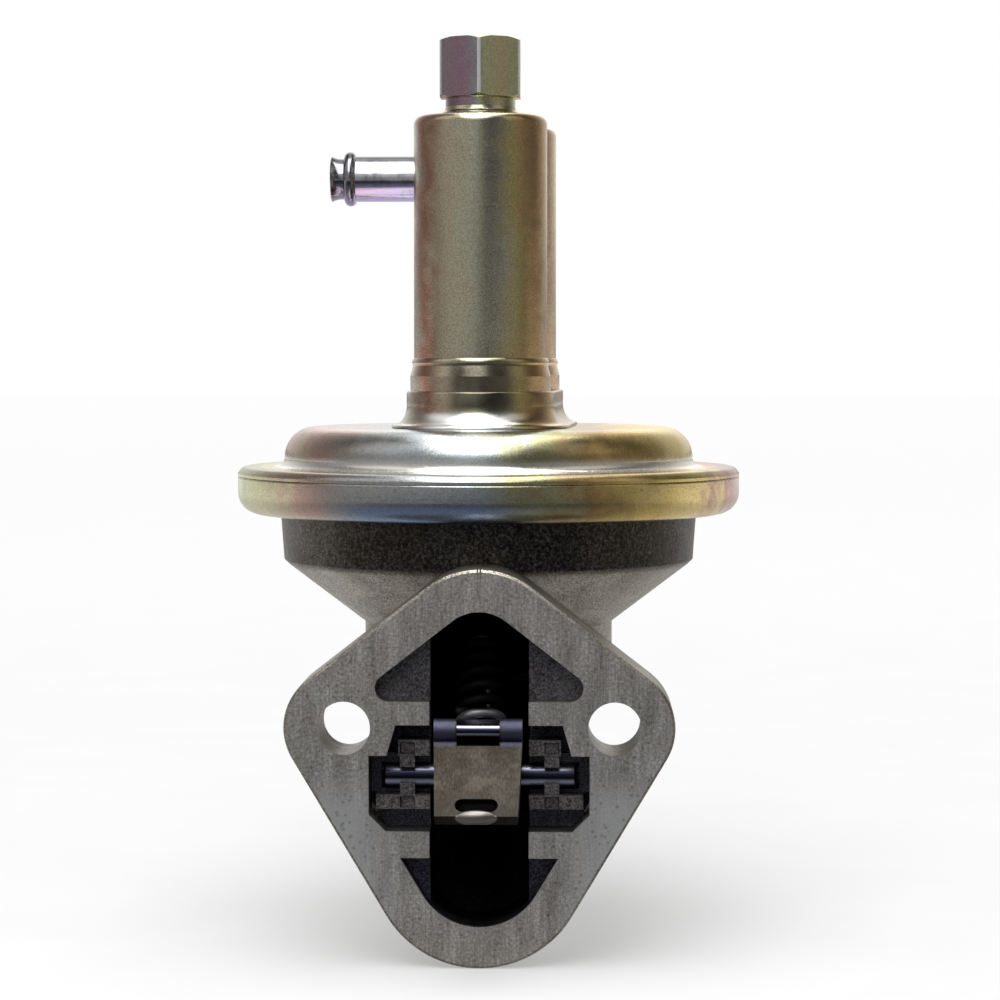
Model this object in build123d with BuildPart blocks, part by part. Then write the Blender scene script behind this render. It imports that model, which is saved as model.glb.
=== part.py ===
from build123d import *
import os
from math import cos, radians, sin

os.makedirs("parts", exist_ok=True)

# Mechanical diaphragm fuel pump with two upright canisters on a pressed steel cover.
# Millimetres, +Z up. The origin is midway between the two bolt holes on the machined flange
# face, +X runs along the bolt row and +Y points from the engine block into the pump.

# Mounting flange
bolt_spacing = 50.8
bolt_hole_d = 10.0
bolt_ear_r = 11.3
flange_thickness = 15.2
flange_top_r = 16.0
flange_top_z = 13.75
flange_bottom_r = 20.3
flange_bottom_z = -25.0
flange_edge_chamfer = 0.5

# Recesses and rocker slot sunk in the flange face
recess_margin = 7.9
recess_depth = 4.0
upper_recess_base_z = 5.0
upper_recess_tip_r = 2.6
lower_recess_top_z = -24.4
slot_width = 18.6

# Pocket and lugs that carry the pivot pin
pocket_width = 41.4
pocket_top_z = -5.15
pocket_bottom_z = -19.4
pocket_corner = 3.2
pocket_depth = 9.8
pocket_crown_z = 0.6
pocket_crown_base_width = 34.7
pocket_crown_top_width = 31.3
lug_face_depth = 3.0
lug_groove_top_z = -5.5
lug_groove_bottom_z = -12.9
upper_lug_height = 3.0
upper_lug_width = 6.0
lower_lug_height = 2.7
lower_lug_width = 10.2
lower_ledge_depth = 7.0
stake_width = 2.8
stake_height = 2.2
stake_depth = 0.9
stake_lip = 0.6
stake_x = 13.6

# Pivot pin
pivot_y = 6.5
pivot_z = -9.7
pin_d = 5.0
pin_length = 36.4
pin_seat_clearance = 0.02
pin_running_clearance = 0.05

# Diaphragm bowl, neck and rod housing of the casting
axis_y = 57.0
bowl_inset = 8.6
bowl_draft = 0.8
bowl_bottom_z = 27.2
bowl_edge_chamfer = 1.0
neck_r = 25.4
neck_top_z = 15.3
neck_bottom_z = 1.5
neck_fillet = 6.0
rod_housing_r = 14.2
rod_housing_bottom_z = -27.5
rod_housing_fillet = 5.0
bowl_wall = 3.2
bowl_floor_z = 18.5
bowl_floor_r = 21.0
weep_hole_d = 3.0
weep_hole_z = 33.5
weep_hole_spread = 30.0
body_root_side_x = 15.6
body_root_inset = 4.2
body_heel_r = 11.4

# Rocker chamber inside the casting
chamber_roof_z = 5.0
chamber_rear_floor_z = -20.5
chamber_floor_run = 14.0

# Cover, crimped rim and clamped diaphragm edge
sheet = 1.5
rim_r = 51.4
rim_top_z = 47.1
rim_height = 9.5
rim_top_radius = 2.0
rim_bottom_radius = 4.2
rim_lip = 5.0
rim_width = 9.5
dome_radius = 6.3
dome_groove_radius = 1.7
dome_wall_height = 0.1
dome_port_r = 8.6
diaphragm_thickness = 1.6
joint_gap = 0.05

# Canisters and the twin collar that joins them to the cover
canister_offset = 15.75
cover_turn = 4.0
outlet_canister_r = 13.3
inlet_canister_r = 12.6
canister_top_z = 117.3
canister_top_radius = 1.8
canister_wall = 1.2
skirt_step = 0.75
skirt_top_z = 65.6
bead_z = 68.4
bead_height = 1.6
bead_proud = 0.4
collar_wall = 0.75
collar_top_z = 62.6
collar_floor = 1.5
collar_foot_r = 17.8
collar_foot_height = 1.6
collar_foot_fillet = 2.0

# Outlet fitting with a hexagon head
hex_across_flats = 15.875
hex_height = 11.7
fitting_neck_d = 13.9
fitting_neck_height = 3.5
fitting_spigot = 3.0
hex_chamfer = 0.5
flare_thread_d = 11.3
flare_thread_depth = 6.9
flare_recess_d = 9.8
flare_seat_height = 2.3
flare_seat_lip = 0.4
flare_seat_gap = 0.3
outlet_bore_d = 5.6

# Inlet nipple for a hose
nipple_d = 9.525
nipple_z = 106.8
nipple_reach = 34.7
nipple_bead_d = 11.4
nipple_bead_length = 2.5
nipple_lip_length = 2.8
nipple_lip_waist = 1.0
nipple_bore_d = 7.0
nipple_inside = 2.0

# Inlet strainer
strainer_r = 8.8
strainer_wall = 0.6
strainer_height = 38.0
strainer_slots = 8
strainer_slot_width = 3.6
strainer_foot_r = 12.0

# Valve plate, gasket and the two valves
gasket_thickness = 0.8
gasket_inset = 6.4
valve_plate_thickness = 4.6
plate_corner_share = 0.75
valve_port_r = 4.6
valve_web = 1.6
valve_disc_r = 6.8
valve_disc_thickness = 0.9
cage_wall = 0.6
cage_r = 7.95
cage_height = 6.0
inlet_cage_height = 4.9
cage_window_width = 5.0
cage_windows = 4
valve_wire = 0.6
valve_coil_r = 3.5
valve_coil_turns = 3

# Diaphragm stack
stack_drop = 2.0
roll_clearance = 2.0
roll_width = 9.6
plate_thickness = 1.1
plate_roll_gap = 1.0
plate_edge_radius = 0.5
rod_d = 6.0
rod_head_r = 5.0
rod_head_height = 1.8
rod_collar_height = 1.8
rod_button_r = 5.0
rod_button_height = 3.2
rod_neck_d = 4.4
rod_shoulder_z = -4.3
rod_bore_clearance = 0.6

# Oil seal, its retainer and the diaphragm spring
seal_r = 8.15
seal_height = 6.8
seal_running_clearance = 0.05
retainer_r = 17.0
retainer_thickness = 1.2
diaphragm_wire = 2.2
diaphragm_coil_r = 13.5
diaphragm_coil_turns = 4

# Rocker arm, spring seat and return spring
arm_width_top = 16.4
arm_width_tip = 15.1
arm_plate = 1.7
arm_inner_width = 12.6
arm_hub_r = 6.2
web_top_y = -5.0
web_top_z = -1.5
web_tip_y = -15.5
web_tip_z = -14.0
arm_lip_height = 1.6
arm_return_length = 10.0
knuckle_y = -3.6
knuckle_z = 0.0
knuckle_r = 2.35
knuckle_gap = 8.0
bar_d = 2.6
bar_clearance = 0.04
tip_slot_width = 7.9
tip_slot_height = 2.7
tip_pad_length = 7.9
tip_pad_r = 1.3
tip_pad_end_r = 0.5
seat_tilt = 35.0
seat_distance = 7.0
seat_shift = 3.45
seat_plate = 1.2
seat_width = 12.2
seat_boss_r = 2.7
seat_boss_height = 1.5
arm_wire = 1.9
arm_coil_r = 4.1
arm_coil_length = 20.0
arm_coil_turns = 6

# Link lever between the arm and the pull rod
link_hub_r = 4.4
link_hub_width = 12.0
link_beam_width = 8.0
link_beam_height = 4.8
link_fork_width = 11.6
link_fork_clearance = 0.3
link_end_r = 1.9
link_button_gap = 0.3
link_nose_y = -10.0
link_nose_width = 9.0
link_nose_height = 2.8
link_nose_gap = 0.3

# Heights and places that follow from the sizes above
rim_bottom_z = rim_top_z - rim_height
seat_z = rim_top_z - sheet
clamp_z = seat_z - diaphragm_thickness
dome_r = rim_r - rim_width
dome_top_z = rim_top_z + dome_groove_radius + dome_wall_height + dome_radius
dome_inside_z = dome_top_z - sheet
bowl_top_r = rim_r - bowl_inset
bowl_bottom_r = bowl_top_r - bowl_draft
gasket_r = dome_r - gasket_inset
roll_outer_r = bowl_top_r - bowl_wall - roll_clearance
roll_inner_r = roll_outer_r - roll_width
plate_r = roll_inner_r - plate_roll_gap
casting_rim_r = rim_r - sheet - joint_gap
diaphragm_r = casting_rim_r - rim_top_radius / 2
casting_rim_bottom_z = rim_bottom_z + sheet + joint_gap
canister_floor_z = dome_top_z + collar_floor
plate_top_z = dome_inside_z - gasket_thickness
plate_bottom_z = plate_top_z - valve_plate_thickness
valve_plate_chamfer = plate_corner_share * (dome_radius - sheet)
membrane_top_z = seat_z - stack_drop
membrane_bottom_z = membrane_top_z - diaphragm_thickness
rod_button_z = rod_shoulder_z - (2 * link_end_r + link_button_gap + 1.0)
link_end_z = rod_button_z + link_button_gap + link_end_r
front_plane = Plane.XZ
side_plane = Plane.YZ
rod_axis = Axis((0, axis_y, 0), (0, 0, 1))
rod_section = Plane.XZ.offset(-axis_y)
turn = radians(cover_turn)
outlet_x = -canister_offset * sin(turn)
outlet_y = axis_y - canister_offset * cos(turn)
inlet_x = canister_offset * sin(turn)
inlet_y = axis_y + canister_offset * cos(turn)
canister_centres = [(outlet_x, outlet_y), (inlet_x, inlet_y)]
tilt = radians(seat_tilt)
seat_y = pivot_y + seat_distance * sin(tilt) - seat_shift * cos(tilt)
seat_centre_z = pivot_z + seat_distance * cos(tilt) + seat_shift * sin(tilt)
seat_plane = Plane(origin=(0, seat_y, seat_centre_z), x_dir=(1, 0, 0), z_dir=(0, sin(tilt), cos(tilt)))
roof_y = seat_y + arm_coil_length * sin(tilt)
roof_z = seat_centre_z + arm_coil_length * cos(tilt)
roof_plane = Plane(origin=(0, roof_y, roof_z), x_dir=(1, 0, 0), z_dir=(0, -sin(tilt), -cos(tilt)))
slot_top_z = flange_top_z + flange_top_r - recess_margin
slot_bottom_z = flange_bottom_z - flange_bottom_r + recess_margin


def flange_hull(inset):
    """Flange outline drawn in by inset: the hull of four circles."""
    with BuildSketch(front_plane) as outline:
        with Locations((0, flange_top_z)):
            Circle(flange_top_r - inset)
        with Locations((-bolt_spacing / 2, 0), (bolt_spacing / 2, 0)):
            Circle(bolt_ear_r - inset)
        with Locations((0, flange_bottom_z)):
            Circle(flange_bottom_r - inset)
        make_hull()
    return outline.sketch


def half_space(low, high):
    """Band between two heights, wide enough to cross the whole flange."""
    with BuildSketch(front_plane) as band:
        with Locations((0, (low + high) / 2)):
            Rectangle(3 * bolt_spacing, high - low)
    return band.sketch


def coil(centre, direction, length, radius, wire, turns):
    """Compression spring whose wire just reaches both ends of its length."""
    path = Vector(*direction).normalized()
    start = Vector(*centre) + path * (wire / 2)
    with BuildPart() as spring:
        with BuildLine() as helix:
            Helix((length - wire) / turns, length - wire, radius, center=start, direction=path)
        with BuildSketch(Plane(origin=helix.line @ 0, z_dir=helix.line % 0)):
            Circle(wire / 2)
        sweep(is_frenet=True)
    return spring.part


# Sand core of the rocker chamber: the slot outline carried back and cut to its side profile
with BuildPart() as chamber:
    with BuildSketch(front_plane) as slot_outline:
        add(flange_hull(recess_margin))
        Rectangle(slot_width, 4 * bolt_spacing, mode=Mode.INTERSECT)
    extrude(amount=-axis_y)
    with BuildSketch(side_plane) as chamber_side:
        slope_end_y = roof_y + (roof_z - chamber_roof_z) * cos(tilt) / sin(tilt)
        slope_start_y = roof_y - (slot_top_z - roof_z) * cos(tilt) / sin(tilt)
        with BuildLine():
            Polyline(
                (0, slot_top_z),
                (slope_start_y, slot_top_z),
                (slope_end_y, chamber_roof_z),
                (axis_y, chamber_roof_z),
                (axis_y, chamber_rear_floor_z),
                (flange_thickness + chamber_floor_run, chamber_rear_floor_z),
                (flange_thickness, slot_bottom_z),
                (0, slot_bottom_z),
                close=True,
            )
        make_face()
    extrude(amount=slot_width, both=True, mode=Mode.INTERSECT)
    with BuildSketch(Plane.XY.offset(chamber_rear_floor_z)):
        with Locations((0, axis_y)):
            Circle(slot_width / 2)
    extrude(amount=chamber_roof_z - chamber_rear_floor_z)

# Die-cast lower body: flange, rocker housing and diaphragm bowl in one piece
with BuildPart() as lower_body:
    with BuildSketch(front_plane):
        add(flange_hull(0))
    extrude(amount=-flange_thickness)
    chamfer(lower_body.edges().group_by(Axis.Y)[0], flange_edge_chamfer)
    with BuildSketch(front_plane.offset(-flange_thickness)):
        with Locations((0, flange_top_z)):
            Circle(flange_top_r - body_root_inset)
        with Locations((0, flange_bottom_z)):
            Circle(flange_bottom_r - body_root_inset)
        side_r = 0.4 * body_root_side_x
        with Locations((side_r - body_root_side_x, 0), (body_root_side_x - side_r, 0)):
            Circle(side_r)
        make_hull()
    with BuildSketch(rod_section):
        rear_r = 0.5 * rod_housing_r
        with Locations((0, 0)):
            Circle(rear_r)
        with Locations((0, rod_housing_bottom_z + body_heel_r + 1)):
            Circle(body_heel_r)
        with Locations((rear_r - rod_housing_r, -rear_r), (rod_housing_r - rear_r, -rear_r)):
            Circle(rear_r)
        make_hull()
    loft()
    with BuildSketch(rod_section):
        with BuildLine():
            Polyline(
                (0, rod_housing_bottom_z),
                (rod_housing_r, rod_housing_bottom_z),
                (rod_housing_r, neck_bottom_z),
                (neck_r, neck_bottom_z),
                (neck_r, neck_top_z),
                (bowl_bottom_r - bowl_edge_chamfer, bowl_bottom_z),
                (bowl_bottom_r, bowl_bottom_z + bowl_edge_chamfer),
                (bowl_top_r, casting_rim_bottom_z),
                (casting_rim_r - rim_bottom_radius + sheet, casting_rim_bottom_z),
                (casting_rim_r, casting_rim_bottom_z + rim_bottom_radius - sheet),
                (casting_rim_r, clamp_z),
                (0, clamp_z),
                close=True,
            )
        outer = make_face()
        fillet(outer.vertices().sort_by_distance((rod_housing_r, rod_housing_bottom_z))[0], rod_housing_fillet)
        fillet(vertices().sort_by_distance((neck_r, neck_bottom_z))[0], neck_fillet)
    revolve(axis=rod_axis)
    with BuildSketch(rod_section):
        with BuildLine():
            Polyline(
                (0, bowl_floor_z),
                (bowl_floor_r, bowl_floor_z),
                (bowl_bottom_r - bowl_wall, bowl_bottom_z + bowl_wall),
                (bowl_top_r - bowl_wall, clamp_z),
                (0, clamp_z),
                close=True,
            )
        make_face()
    revolve(axis=rod_axis, mode=Mode.SUBTRACT)
    add(chamber.part, mode=Mode.SUBTRACT)
    with BuildSketch(Plane.XY.offset(bowl_floor_z)):
        with Locations((0, axis_y)):
            Circle(seal_r + joint_gap)
    extrude(amount=-(seal_height + 2 * joint_gap), mode=Mode.SUBTRACT)
    with BuildSketch(Plane.XY.offset(bowl_floor_z)):
        with Locations((0, axis_y)):
            Circle(rod_d / 2 + rod_bore_clearance)
    extrude(amount=chamber_roof_z - bowl_floor_z - 1, mode=Mode.SUBTRACT)
    # Shallow recesses beside the slot
    with BuildSketch(front_plane) as upper_recess:
        add(flange_hull(recess_margin))
        add(half_space(upper_recess_base_z, slot_top_z), mode=Mode.INTERSECT)
        fillet(upper_recess.vertices().group_by(Axis.Y)[0], upper_recess_tip_r)
    extrude(amount=-recess_depth, mode=Mode.SUBTRACT)
    with BuildSketch(front_plane):
        add(flange_hull(recess_margin))
        add(half_space(slot_bottom_z, lower_recess_top_z), mode=Mode.INTERSECT)
    extrude(amount=-recess_depth, mode=Mode.SUBTRACT)
    # Pocket for the pivot pin, with the two pairs of lugs left standing in it
    with BuildSketch(front_plane):
        with BuildLine():
            right_side = Polyline(
                (0, pocket_crown_z),
                (pocket_crown_top_width / 2, pocket_crown_z),
                (pocket_crown_base_width / 2, pocket_top_z),
                (pocket_width / 2, pocket_top_z),
                (pocket_width / 2, pocket_bottom_z + pocket_corner),
                (pocket_width / 2 - pocket_corner, pocket_bottom_z),
                (0, pocket_bottom_z),
            )
            mirror(right_side, about=Plane.YZ)
        make_face()
    extrude(amount=-pocket_depth, mode=Mode.SUBTRACT)
    for side in (-1, 1):
        with BuildSketch(front_plane.offset(-pocket_depth)):
            with Locations((side * (slot_width + upper_lug_width) / 2, lug_groove_top_z + upper_lug_height / 2)):
                Rectangle(upper_lug_width, upper_lug_height)
            with Locations((side * (slot_width + lower_lug_width) / 2, lug_groove_bottom_z - lower_lug_height / 2)):
                Rectangle(lower_lug_width, lower_lug_height)
        extrude(amount=pocket_depth - lug_face_depth)
        with BuildSketch(front_plane.offset(-pocket_depth)):
            seat_width_x = pocket_width / 2 - slot_width / 2 - joint_gap
            with Locations((side * (slot_width + seat_width_x) / 2, (lug_groove_top_z + lug_groove_bottom_z) / 2)):
                Rectangle(seat_width_x, lug_groove_top_z - lug_groove_bottom_z)
            ledge_top_z = lug_groove_bottom_z - lower_lug_height
            with Locations((side * (slot_width + lower_lug_width) / 2, (ledge_top_z + pocket_bottom_z) / 2)):
                Rectangle(lower_lug_width, ledge_top_z - pocket_bottom_z)
        extrude(amount=pocket_depth - lower_ledge_depth)
        for edge_z, toward in ((lug_groove_top_z, 1), (lug_groove_bottom_z, -1)):
            with BuildSketch(front_plane.offset(-lug_face_depth)):
                with Locations((side * stake_x, edge_z + toward * (stake_height / 2 + stake_lip / 2))):
                    Rectangle(stake_width, stake_height)
            extrude(amount=-stake_depth, taper=15, mode=Mode.SUBTRACT)
            with BuildSketch(front_plane.offset(-lug_face_depth - 0.3)):
                with Locations((side * stake_x, edge_z - toward * stake_height / 2)):
                    Rectangle(stake_width, stake_height)
            extrude(amount=-(stake_depth + stake_lip))
    with BuildSketch(side_plane):
        with Locations((pivot_y, pivot_z)):
            Circle(pin_d / 2 + pin_seat_clearance)
    extrude(amount=(pin_length + 1) / 2, both=True, mode=Mode.SUBTRACT)
    # Bolt holes, weep holes and the boss that centres the arm spring
    with BuildSketch(front_plane):
        with Locations((-bolt_spacing / 2, 0), (bolt_spacing / 2, 0)):
            Circle(bolt_hole_d / 2)
    extrude(amount=-flange_thickness, mode=Mode.SUBTRACT)
    for angle in (90 - weep_hole_spread, 90 + weep_hole_spread):
        weep_direction = (cos(radians(angle)), sin(radians(angle)), 0)
        with BuildSketch(Plane(origin=(0, axis_y, weep_hole_z), z_dir=weep_direction)):
            Circle(weep_hole_d / 2)
        extrude(amount=bowl_top_r + 1, mode=Mode.SUBTRACT)
    with BuildSketch(roof_plane):
        Circle(seat_boss_r)
    extrude(amount=seat_boss_height)
lower_body.part.label = "lower_body"

# Pressed steel cover: dome, clamping face and the rim rolled under the casting
with BuildPart() as upper_cover:
    with BuildSketch(rod_section):
        with BuildLine():
            outside = FilletPolyline(
                (0, dome_top_z),
                (dome_r, dome_top_z),
                (dome_r, rim_top_z),
                (rim_r, rim_top_z),
                (rim_r, rim_bottom_z),
                (rim_r - rim_lip - sheet, rim_bottom_z),
                radius=[dome_radius, dome_groove_radius, rim_top_radius, rim_bottom_radius],
            )
            offset(outside, amount=sheet, side=Side.RIGHT)
        make_face()
    revolve(axis=rod_axis)
    with BuildSketch(Plane.XY.offset(dome_top_z)):
        with Locations(*canister_centres):
            Circle(dome_port_r)
    extrude(amount=-2 * sheet, mode=Mode.SUBTRACT)
upper_cover.part.label = "upper_cover"


def collar_hull(outlet_radius, inlet_radius):
    """Outline round both canisters."""
    with BuildSketch() as outline:
        with Locations(canister_centres[0]):
            Circle(outlet_radius)
        with Locations(canister_centres[1]):
            Circle(inlet_radius)
        make_hull()
    return outline.sketch


# Twin collar brazed on the dome, with a socket for each canister
outlet_skirt_r = outlet_canister_r + skirt_step
inlet_skirt_r = inlet_canister_r + skirt_step
with BuildPart() as canister_collar:
    with BuildSketch(Plane.XY.offset(dome_top_z)):
        add(collar_hull(outlet_skirt_r + collar_wall, inlet_skirt_r + collar_wall))
    extrude(amount=collar_top_z - dome_top_z)
    with BuildSketch(Plane.XY.offset(dome_top_z)):
        foot_step = collar_foot_r - outlet_skirt_r
        add(collar_hull(outlet_skirt_r + foot_step, inlet_skirt_r + foot_step))
    extrude(amount=collar_foot_height)
    inner_corner = canister_collar.edges().filter_by(Plane.XY).group_by(Axis.Z)[1]
    fillet(inner_corner.filter_by(lambda e: e.center().Z > dome_top_z + 0.1), collar_foot_fillet / 2)
    for centre, skirt_r in zip(canister_centres, (outlet_skirt_r, inlet_skirt_r)):
        with BuildSketch(Plane.XY.offset(canister_floor_z)):
            with Locations(centre):
                Circle(skirt_r + joint_gap)
        extrude(amount=collar_top_z, mode=Mode.SUBTRACT)
        with BuildSketch(Plane.XY.offset(dome_top_z)):
            with Locations(centre):
                Circle(dome_port_r)
        extrude(amount=2 * collar_floor, mode=Mode.SUBTRACT)
canister_collar.part.label = "canister_collar"


def canister(centre, radius, skirt_r):
    """Drawn steel canister: plain barrel, bead near the foot and a wider skirt in the collar."""
    section = Plane(origin=(centre[0], centre[1], 0), x_dir=(1, 0, 0), z_dir=(0, -1, 0))
    with BuildPart() as can:
        with BuildSketch(section):
            with BuildLine():
                barrel = Polyline(
                    (0, canister_top_z),
                    (radius, canister_top_z),
                    (radius, bead_z + bead_height / 2),
                )
                bead = ThreePointArc(
                    barrel @ 1,
                    (radius + bead_proud, bead_z),
                    (radius + 0.3 * skirt_step, bead_z - bead_height / 2),
                )
                Polyline(
                    bead @ 1,
                    (skirt_r, skirt_top_z),
                    (skirt_r, canister_floor_z),
                    (radius - canister_wall, canister_floor_z),
                    (radius - canister_wall, canister_top_z - canister_wall),
                    (0, canister_top_z - canister_wall),
                    (0, canister_top_z),
                )
            make_face()
            fillet(vertices().sort_by_distance((radius, canister_top_z))[0], canister_top_radius)
        revolve(axis=Axis((centre[0], centre[1], 0), (0, 0, 1)))
    return can.part


# Outlet canister at the front, under the hexagon fitting
with BuildPart() as outlet_canister:
    add(canister(canister_centres[0], outlet_canister_r, outlet_skirt_r))
    with BuildSketch(Plane.XY.offset(canister_top_z)):
        with Locations(canister_centres[0]):
            Circle(fitting_neck_d / 2 - 1)
    extrude(amount=-2 * canister_wall, mode=Mode.SUBTRACT)
outlet_canister.part.label = "outlet_canister"

# Inlet canister behind it, pierced for the hose nipple
with BuildPart() as inlet_canister:
    add(canister(canister_centres[1], inlet_canister_r, inlet_skirt_r))
    with BuildSketch(Plane.YZ.offset(inlet_x)):
        with Locations((inlet_y, nipple_z)):
            Circle(nipple_d / 2 + joint_gap)
    extrude(amount=-2 * inlet_canister_r, mode=Mode.SUBTRACT)
inlet_canister.part.label = "inlet_canister"

# Outlet fitting: hexagon, round neck and a spigot brazed in the canister top
hex_bottom_z = canister_top_z + fitting_neck_height
hex_top_z = hex_bottom_z + hex_height
with BuildPart() as outlet_fitting:
    with BuildSketch(Plane.XY.offset(hex_bottom_z)):
        with Locations(canister_centres[0]):
            RegularPolygon(hex_across_flats / 2, 6, major_radius=False, rotation=30)
    extrude(amount=hex_height)
    with BuildSketch(Plane.XY.offset(canister_top_z)):
        with Locations(canister_centres[0]):
            Circle(fitting_neck_d / 2)
    extrude(amount=fitting_neck_height)
    with BuildSketch(Plane.XY.offset(canister_top_z)):
        with Locations(canister_centres[0]):
            Circle(fitting_neck_d / 2 - 1 - joint_gap)
    extrude(amount=-fitting_spigot)
    chamfer(outlet_fitting.edges().group_by(Axis.Z)[-1], hex_chamfer)
    thread_section = Plane(origin=(outlet_x, outlet_y, 0), x_dir=(1, 0, 0), z_dir=(0, -1, 0))
    with BuildSketch(thread_section):
        with BuildLine():
            thread_end_z = hex_top_z - flare_thread_depth
            seat_foot_z = thread_end_z - flare_seat_gap - flare_seat_height
            Polyline(
                (0, hex_top_z),
                (flare_thread_d / 2, hex_top_z),
                (flare_thread_d / 2, thread_end_z),
                (flare_recess_d / 2, thread_end_z),
                (flare_recess_d / 2, seat_foot_z),
                (outlet_bore_d / 2 + flare_seat_lip, seat_foot_z),
                (outlet_bore_d / 2, seat_foot_z + flare_seat_height),
                (outlet_bore_d / 2, canister_top_z - fitting_spigot),
                (0, canister_top_z - fitting_spigot),
                close=True,
            )
        make_face()
    revolve(axis=Axis((outlet_x, outlet_y, 0), (0, 0, 1)), mode=Mode.SUBTRACT)
outlet_fitting.part.label = "outlet_fitting"

# Hose nipple: turned tube with a bead and a lipped mouth, brazed in the side of the canister
nipple_section = Plane(origin=(inlet_x, inlet_y, nipple_z), x_dir=(-1, 0, 0), z_dir=(0, 1, 0))
with BuildPart() as inlet_nipple:
    with BuildSketch(nipple_section):
        tube_r = nipple_d / 2
        root = inlet_canister_r - nipple_inside
        mouth = nipple_reach
        lip_start = mouth - nipple_lip_length
        bead_start = lip_start - nipple_bead_length
        with BuildLine():
            Polyline((root, nipple_bore_d / 2), (root, tube_r), (bead_start, tube_r))
            bead_arc = ThreePointArc(
                (bead_start, tube_r),
                ((bead_start + lip_start) / 2, nipple_bead_d / 2),
                (lip_start, tube_r - nipple_lip_waist / 2),
            )
            Spline(
                bead_arc @ 1,
                (lip_start + 0.4 * nipple_lip_length, tube_r - nipple_lip_waist / 2),
                (mouth - 0.2, tube_r),
            )
            Polyline(
                (mouth - 0.2, tube_r),
                (mouth, tube_r - 0.3),
                (mouth, nipple_bore_d / 2 + 0.5),
                (mouth - 0.5, nipple_bore_d / 2),
                (root, nipple_bore_d / 2),
            )
        make_face()
    revolve(axis=Axis((inlet_x, inlet_y, nipple_z), (-1, 0, 0)))
inlet_nipple.part.label = "inlet_nipple"

# Strainer standing in the inlet canister over the inlet valve
with BuildPart() as strainer:
    with BuildSketch(Plane.XY.offset(canister_floor_z)):
        with Locations(canister_centres[1]):
            Circle(min(strainer_foot_r, inlet_canister_r - canister_wall - 0.2))
            Circle(strainer_r - strainer_wall, mode=Mode.SUBTRACT)
    extrude(amount=strainer_wall)
    with BuildSketch(Plane.XY.offset(canister_floor_z)):
        with Locations(canister_centres[1]):
            Circle(strainer_r)
            Circle(strainer_r - strainer_wall, mode=Mode.SUBTRACT)
    extrude(amount=strainer_height)
    with BuildSketch(Plane.XY.offset(canister_floor_z + strainer_height)):
        with Locations(canister_centres[1]):
            Circle(strainer_r)
    extrude(amount=strainer_wall)
    for step in range(strainer_slots):
        slot_angle = radians(360 * step / strainer_slots)
        slot_direction = (cos(slot_angle), sin(slot_angle), 0)
        slot_origin = (inlet_x, inlet_y, canister_floor_z + strainer_height / 2)
        with BuildSketch(Plane(origin=slot_origin, x_dir=(0, 0, 1), z_dir=slot_direction)):
            SlotOverall(strainer_height - 6, strainer_slot_width)
        extrude(amount=strainer_r + 1, mode=Mode.SUBTRACT)
strainer.part.label = "strainer"

# Gasket between the dome and the valve plate
with BuildPart() as valve_gasket:
    with BuildSketch(Plane.XY.offset(plate_top_z)):
        with Locations((0, axis_y)):
            Circle(gasket_r)
        with Locations(*canister_centres):
            Circle(dome_port_r, mode=Mode.SUBTRACT)
    extrude(amount=gasket_thickness)
valve_gasket.part.label = "valve_gasket"

# Valve plate: outlet seat opens upward, inlet seat opens downward
with BuildPart() as valve_plate:
    with BuildSketch(Plane.XY.offset(plate_bottom_z)):
        with Locations((0, axis_y)):
            Circle(dome_r - sheet - joint_gap)
    extrude(amount=valve_plate_thickness)
    chamfer(valve_plate.edges().group_by(Axis.Z)[-1], valve_plate_chamfer)
    with BuildSketch(Plane.XY.offset(plate_bottom_z)):
        with Locations(*canister_centres):
            Circle(valve_port_r)
    extrude(amount=valve_plate_thickness, mode=Mode.SUBTRACT)
    with BuildSketch(Plane.XY.offset(plate_bottom_z + valve_web)):
        with Locations(canister_centres[0]):
            Circle(cage_r + joint_gap)
    extrude(amount=valve_plate_thickness, mode=Mode.SUBTRACT)
    with BuildSketch(Plane.XY.offset(plate_top_z - valve_web)):
        with Locations(canister_centres[1]):
            Circle(cage_r + joint_gap)
    extrude(amount=-valve_plate_thickness, mode=Mode.SUBTRACT)
valve_plate.part.label = "valve_plate"


def valve_cage(centre, seat, direction, height):
    """Thin cup with windows in its wall, open towards the valve seat."""
    with BuildPart() as cage:
        with BuildSketch(Plane.XY.offset(seat)):
            with Locations(centre):
                Circle(cage_r)
                Circle(cage_r - cage_wall, mode=Mode.SUBTRACT)
        extrude(amount=direction * height)
        with BuildSketch(Plane.XY.offset(seat + direction * height)):
            with Locations(centre):
                Circle(cage_r)
                Circle(valve_coil_r - 1, mode=Mode.SUBTRACT)
        extrude(amount=-direction * cage_wall)
        for step in range(cage_windows):
            window_angle = radians(45 + 360 * step / cage_windows)
            window_direction = (cos(window_angle), sin(window_angle), 0)
            window_z = seat + direction * (height - cage_wall - 1.1)
            with BuildSketch(
                Plane(origin=(centre[0], centre[1], window_z), x_dir=(0, 0, 1), z_dir=window_direction)
            ):
                Rectangle(1.4, cage_window_width)
            extrude(amount=cage_r + 1, mode=Mode.SUBTRACT)
    return cage.part


def valve_disc(centre, seat, direction):
    """Flat valve disc resting just off its seat."""
    with BuildPart() as disc:
        with BuildSketch(Plane.XY.offset(seat + direction * joint_gap)):
            with Locations(centre):
                Circle(valve_disc_r)
        extrude(amount=direction * valve_disc_thickness)
    return disc.part


outlet_seat_z = plate_bottom_z + valve_web
inlet_seat_z = plate_top_z - valve_web
disc_lift = valve_disc_thickness + joint_gap

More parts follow.
